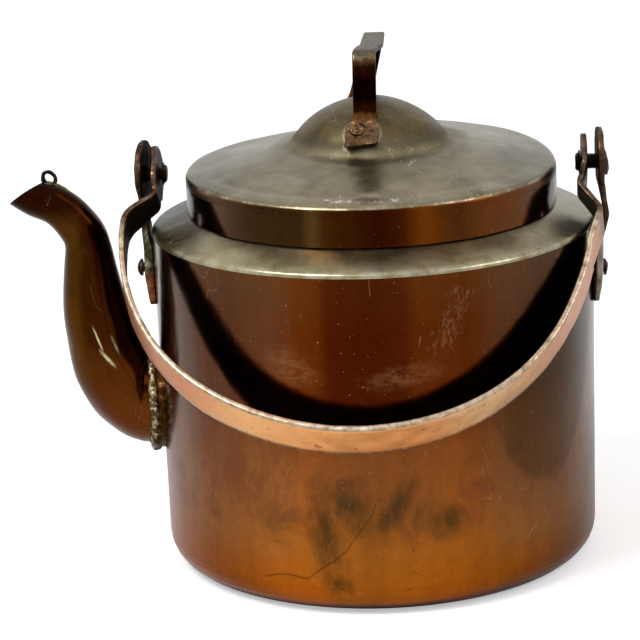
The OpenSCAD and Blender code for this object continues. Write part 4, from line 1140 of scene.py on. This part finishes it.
def bail():
    left = rounded([(-EYE_X, -EYE_R + 0.02), (-EYE_X, 17.5, 6), (-BOW_MID - BOW_SHIFT + 1, 30, 13),
                    (-BOW_MID - BOW_SHIFT, 0.99 * BOW_DROP)], 8)
    bow = arc((-BOW_SHIFT, BOW_DROP), BOW_MID, 180, 8, 90)
    right_leg = rounded([(-BOW_SHIFT + BOW_MID * math.cos(math.radians(9)),
                          BOW_DROP + BOW_MID * math.sin(math.radians(7))),
                         (EYE_X + 7, 0.81 * BOW_DROP, 8), (EYE_X - 4.1, 1.19 * EYE_R, 6), (EYE_X, 6.6, 5),
                         (EYE_X, -EYE_R + 0.02)], 8)
    path = spaced(left + bow + right_leg, 1.4)
    lean = bail_lean()
    out_dir = np.array([0, -math.cos(lean), -math.sin(lean)])
    low_dir = np.array([0, math.sin(lean), -math.cos(lean)])
    mouth = math.asin(WAIST_W / 2 / EYE_R)

    def half_width(d, on_left):
        if d < EYE_R * math.cos(mouth):
            return max(0.35, math.sqrt(max(0, EYE_R ** 2 - d ** 2)))
        x = [EYE_R * math.cos(mouth), 19, 26, 34, 42, 50]
        y = [6.5, 7.4, 9.6, 11, 11.5, 11.5] if on_left else [6.5, 6.5, 7.2, 9, 10.9, 11.5]
        return float(np.interp(d, x, y))

    # By hand it isn't even: along its length the bow is a little in or out, turned and narrower
    knots = [0, 36, 51, 79, 106, 134, 161, 189, 217, 244, 272, 299, 327, 355, 382, 410, 437, 452, 466]
    shifts = [1.2, 1.0, -0.8, -0.3, 0.5, 1.3, 1.2, 0.3, 0.1, 0.2, 0.3, 0.3, -0.5, -2, -3.1, -1.8, 1.0, 1.2, 0.4]
    twists = [-6, -4, 1, 1.5, 1, 0, 0, 0, 0, -0.5, -1.5, -3, -4.5, -3, 0, 2.5, 5, 1.5, 0]
    widths = [11.5, 11.2, 10.3, 10.2, 10.4, 10.6, 11, 11.4] + [11.5] * 4 + [11.2, 11.3] + [11.5] * 5
    run = np.concatenate([[0], np.cumsum([np.linalg.norm(b - a) for a, b in zip(path, path[1:])])])

    def eased(s, table):
        return float(np.mean([np.interp(s + d, knots, table) for d in (-9, -6, -3, 0, 3, 6, 9)]))

    rings, side, reach = [], [], []
    for i, p in enumerate(path):
        a, b = path[max(i - 1, 0)], path[min(i + 1, len(path) - 1)]
        t = unit(b - a)
        n = np.array([t[1], -t[0]])
        if n @ (p - np.array([0, BOW_DROP if p[1] > 40 else p[1]])) < 0:
            n = -n
        d, on_left = p[1], p[0] < 0
        half = min(half_width(d, on_left), eased(run[i], widths))
        twist = math.radians(eased(run[i], twists))
        p = p + n * eased(run[i], shifts)
        wave = 0.3 * noise.noise(Vector((p[0] / 30, d / 30, 4.0)))
        ring = []
        for w, h in section(half + wave, BAIL_T / 2, 0.75, 8):
            w2, h2 = w * math.cos(twist) - h * math.sin(twist), w * math.sin(twist) + h * math.cos(twist)
            flat = p + n * h2
            ring.append(np.array([flat[0], 0, PIVOT_H]) + flat[1] * out_dir + w2 * low_dir)
            side.append(h / (BAIL_T / 2) if abs(w) < half - 0.9 else 0)
            reach.append(d)
        rings.append(ring)
    points, faces = loft(rings)
    obj = piece("bail_strap", points, faces, "bail", BAIL, ["bail"], 50,
                {"side": side, "reach": reach})
    return roughen(obj, 0.2, 8, 5)


bail()


# ---------------------------------------------------------------- stage and light

def stage_material():
    """A white floor: seen directly it is white but for the object's shadow."""
    material = bpy.data.materials.new("pale_floor")
    material.use_nodes = True
    tree = material.node_tree
    shader = tree.nodes["Principled BSDF"]
    shader.inputs["Base Color"].default_value = (0.9, 0.9, 0.91, 1)
    shader.inputs["Roughness"].default_value = 0.9
    shader.inputs["Specular IOR Level"].default_value = 0.1
    shader.inputs["Emission Color"].default_value = (1, 1, 1, 1)
    seen = tree.nodes.new("ShaderNodeLightPath")
    level = tree.nodes.new("ShaderNodeMapRange")
    level.inputs["To Min"].default_value, level.inputs["To Max"].default_value = 0.0, 0.42
    tree.links.new(seen.outputs["Is Camera Ray"], level.inputs["Value"])
    tree.links.new(level.outputs[0], shader.inputs["Emission Strength"])
    return material


def floor():
    mesh = bpy.data.meshes.new("floor")
    mesh.from_pydata([(x, y, -0.0003) for x, y in ((-7, -7), (7, -7), (7, 7), (-7, 7))], [], [(0, 1, 2, 3)])
    mesh.materials.append(stage_material())
    obj = bpy.data.objects.new("floor", mesh)
    bpy.context.scene.collection.objects.link(obj)


floor()


def lamp(name, place, size, power, target=(0, 0, 0.1)):
    data = bpy.data.lights.new(name, "AREA")
    data.shape = "RECTANGLE"
    data.size, data.size_y = size
    data.energy = power
    obj = bpy.data.objects.new(name, data)
    bpy.context.scene.collection.objects.link(obj)
    obj.location = place
    obj.rotation_mode = "QUATERNION"
    obj.rotation_quaternion = (Vector(target) - Vector(place)).to_track_quat("-Z", "Y")
    return obj


lamp("key", (-0.9, -0.9, 1.7), (0.8, 0.8), 22)
lamp("fill", (1.3, -0.5, 1.1), (0.6, 0.9), 6)

world = bpy.data.worlds.new("studio")
bpy.context.scene.world = world
world.use_nodes = True
nodes, links = world.node_tree.nodes, world.node_tree.links
path_node = nodes.new("ShaderNodeLightPath")
seen = nodes.new("ShaderNodeMath")
seen.operation = "MAXIMUM"
links.new(path_node.outputs["Is Camera Ray"], seen.inputs[0])
links.new(path_node.outputs["Is Glossy Ray"], seen.inputs[1])
seen_too = nodes.new("ShaderNodeMath")
seen_too.operation = "MAXIMUM"
links.new(seen.outputs[0], seen_too.inputs[0])
links.new(path_node.outputs["Is Transmission Ray"], seen_too.inputs[1])
level = nodes.new("ShaderNodeMapRange")
level.inputs["To Min"].default_value, level.inputs["To Max"].default_value = 0.55, 1.0
links.new(seen_too.outputs[0], level.inputs["Value"])
links.new(level.outputs[0], nodes["Background"].inputs["Strength"])
nodes["Background"].inputs["Color"].default_value = (1, 1, 1, 1)

bpy.context.scene.view_settings.view_transform = "Standard"
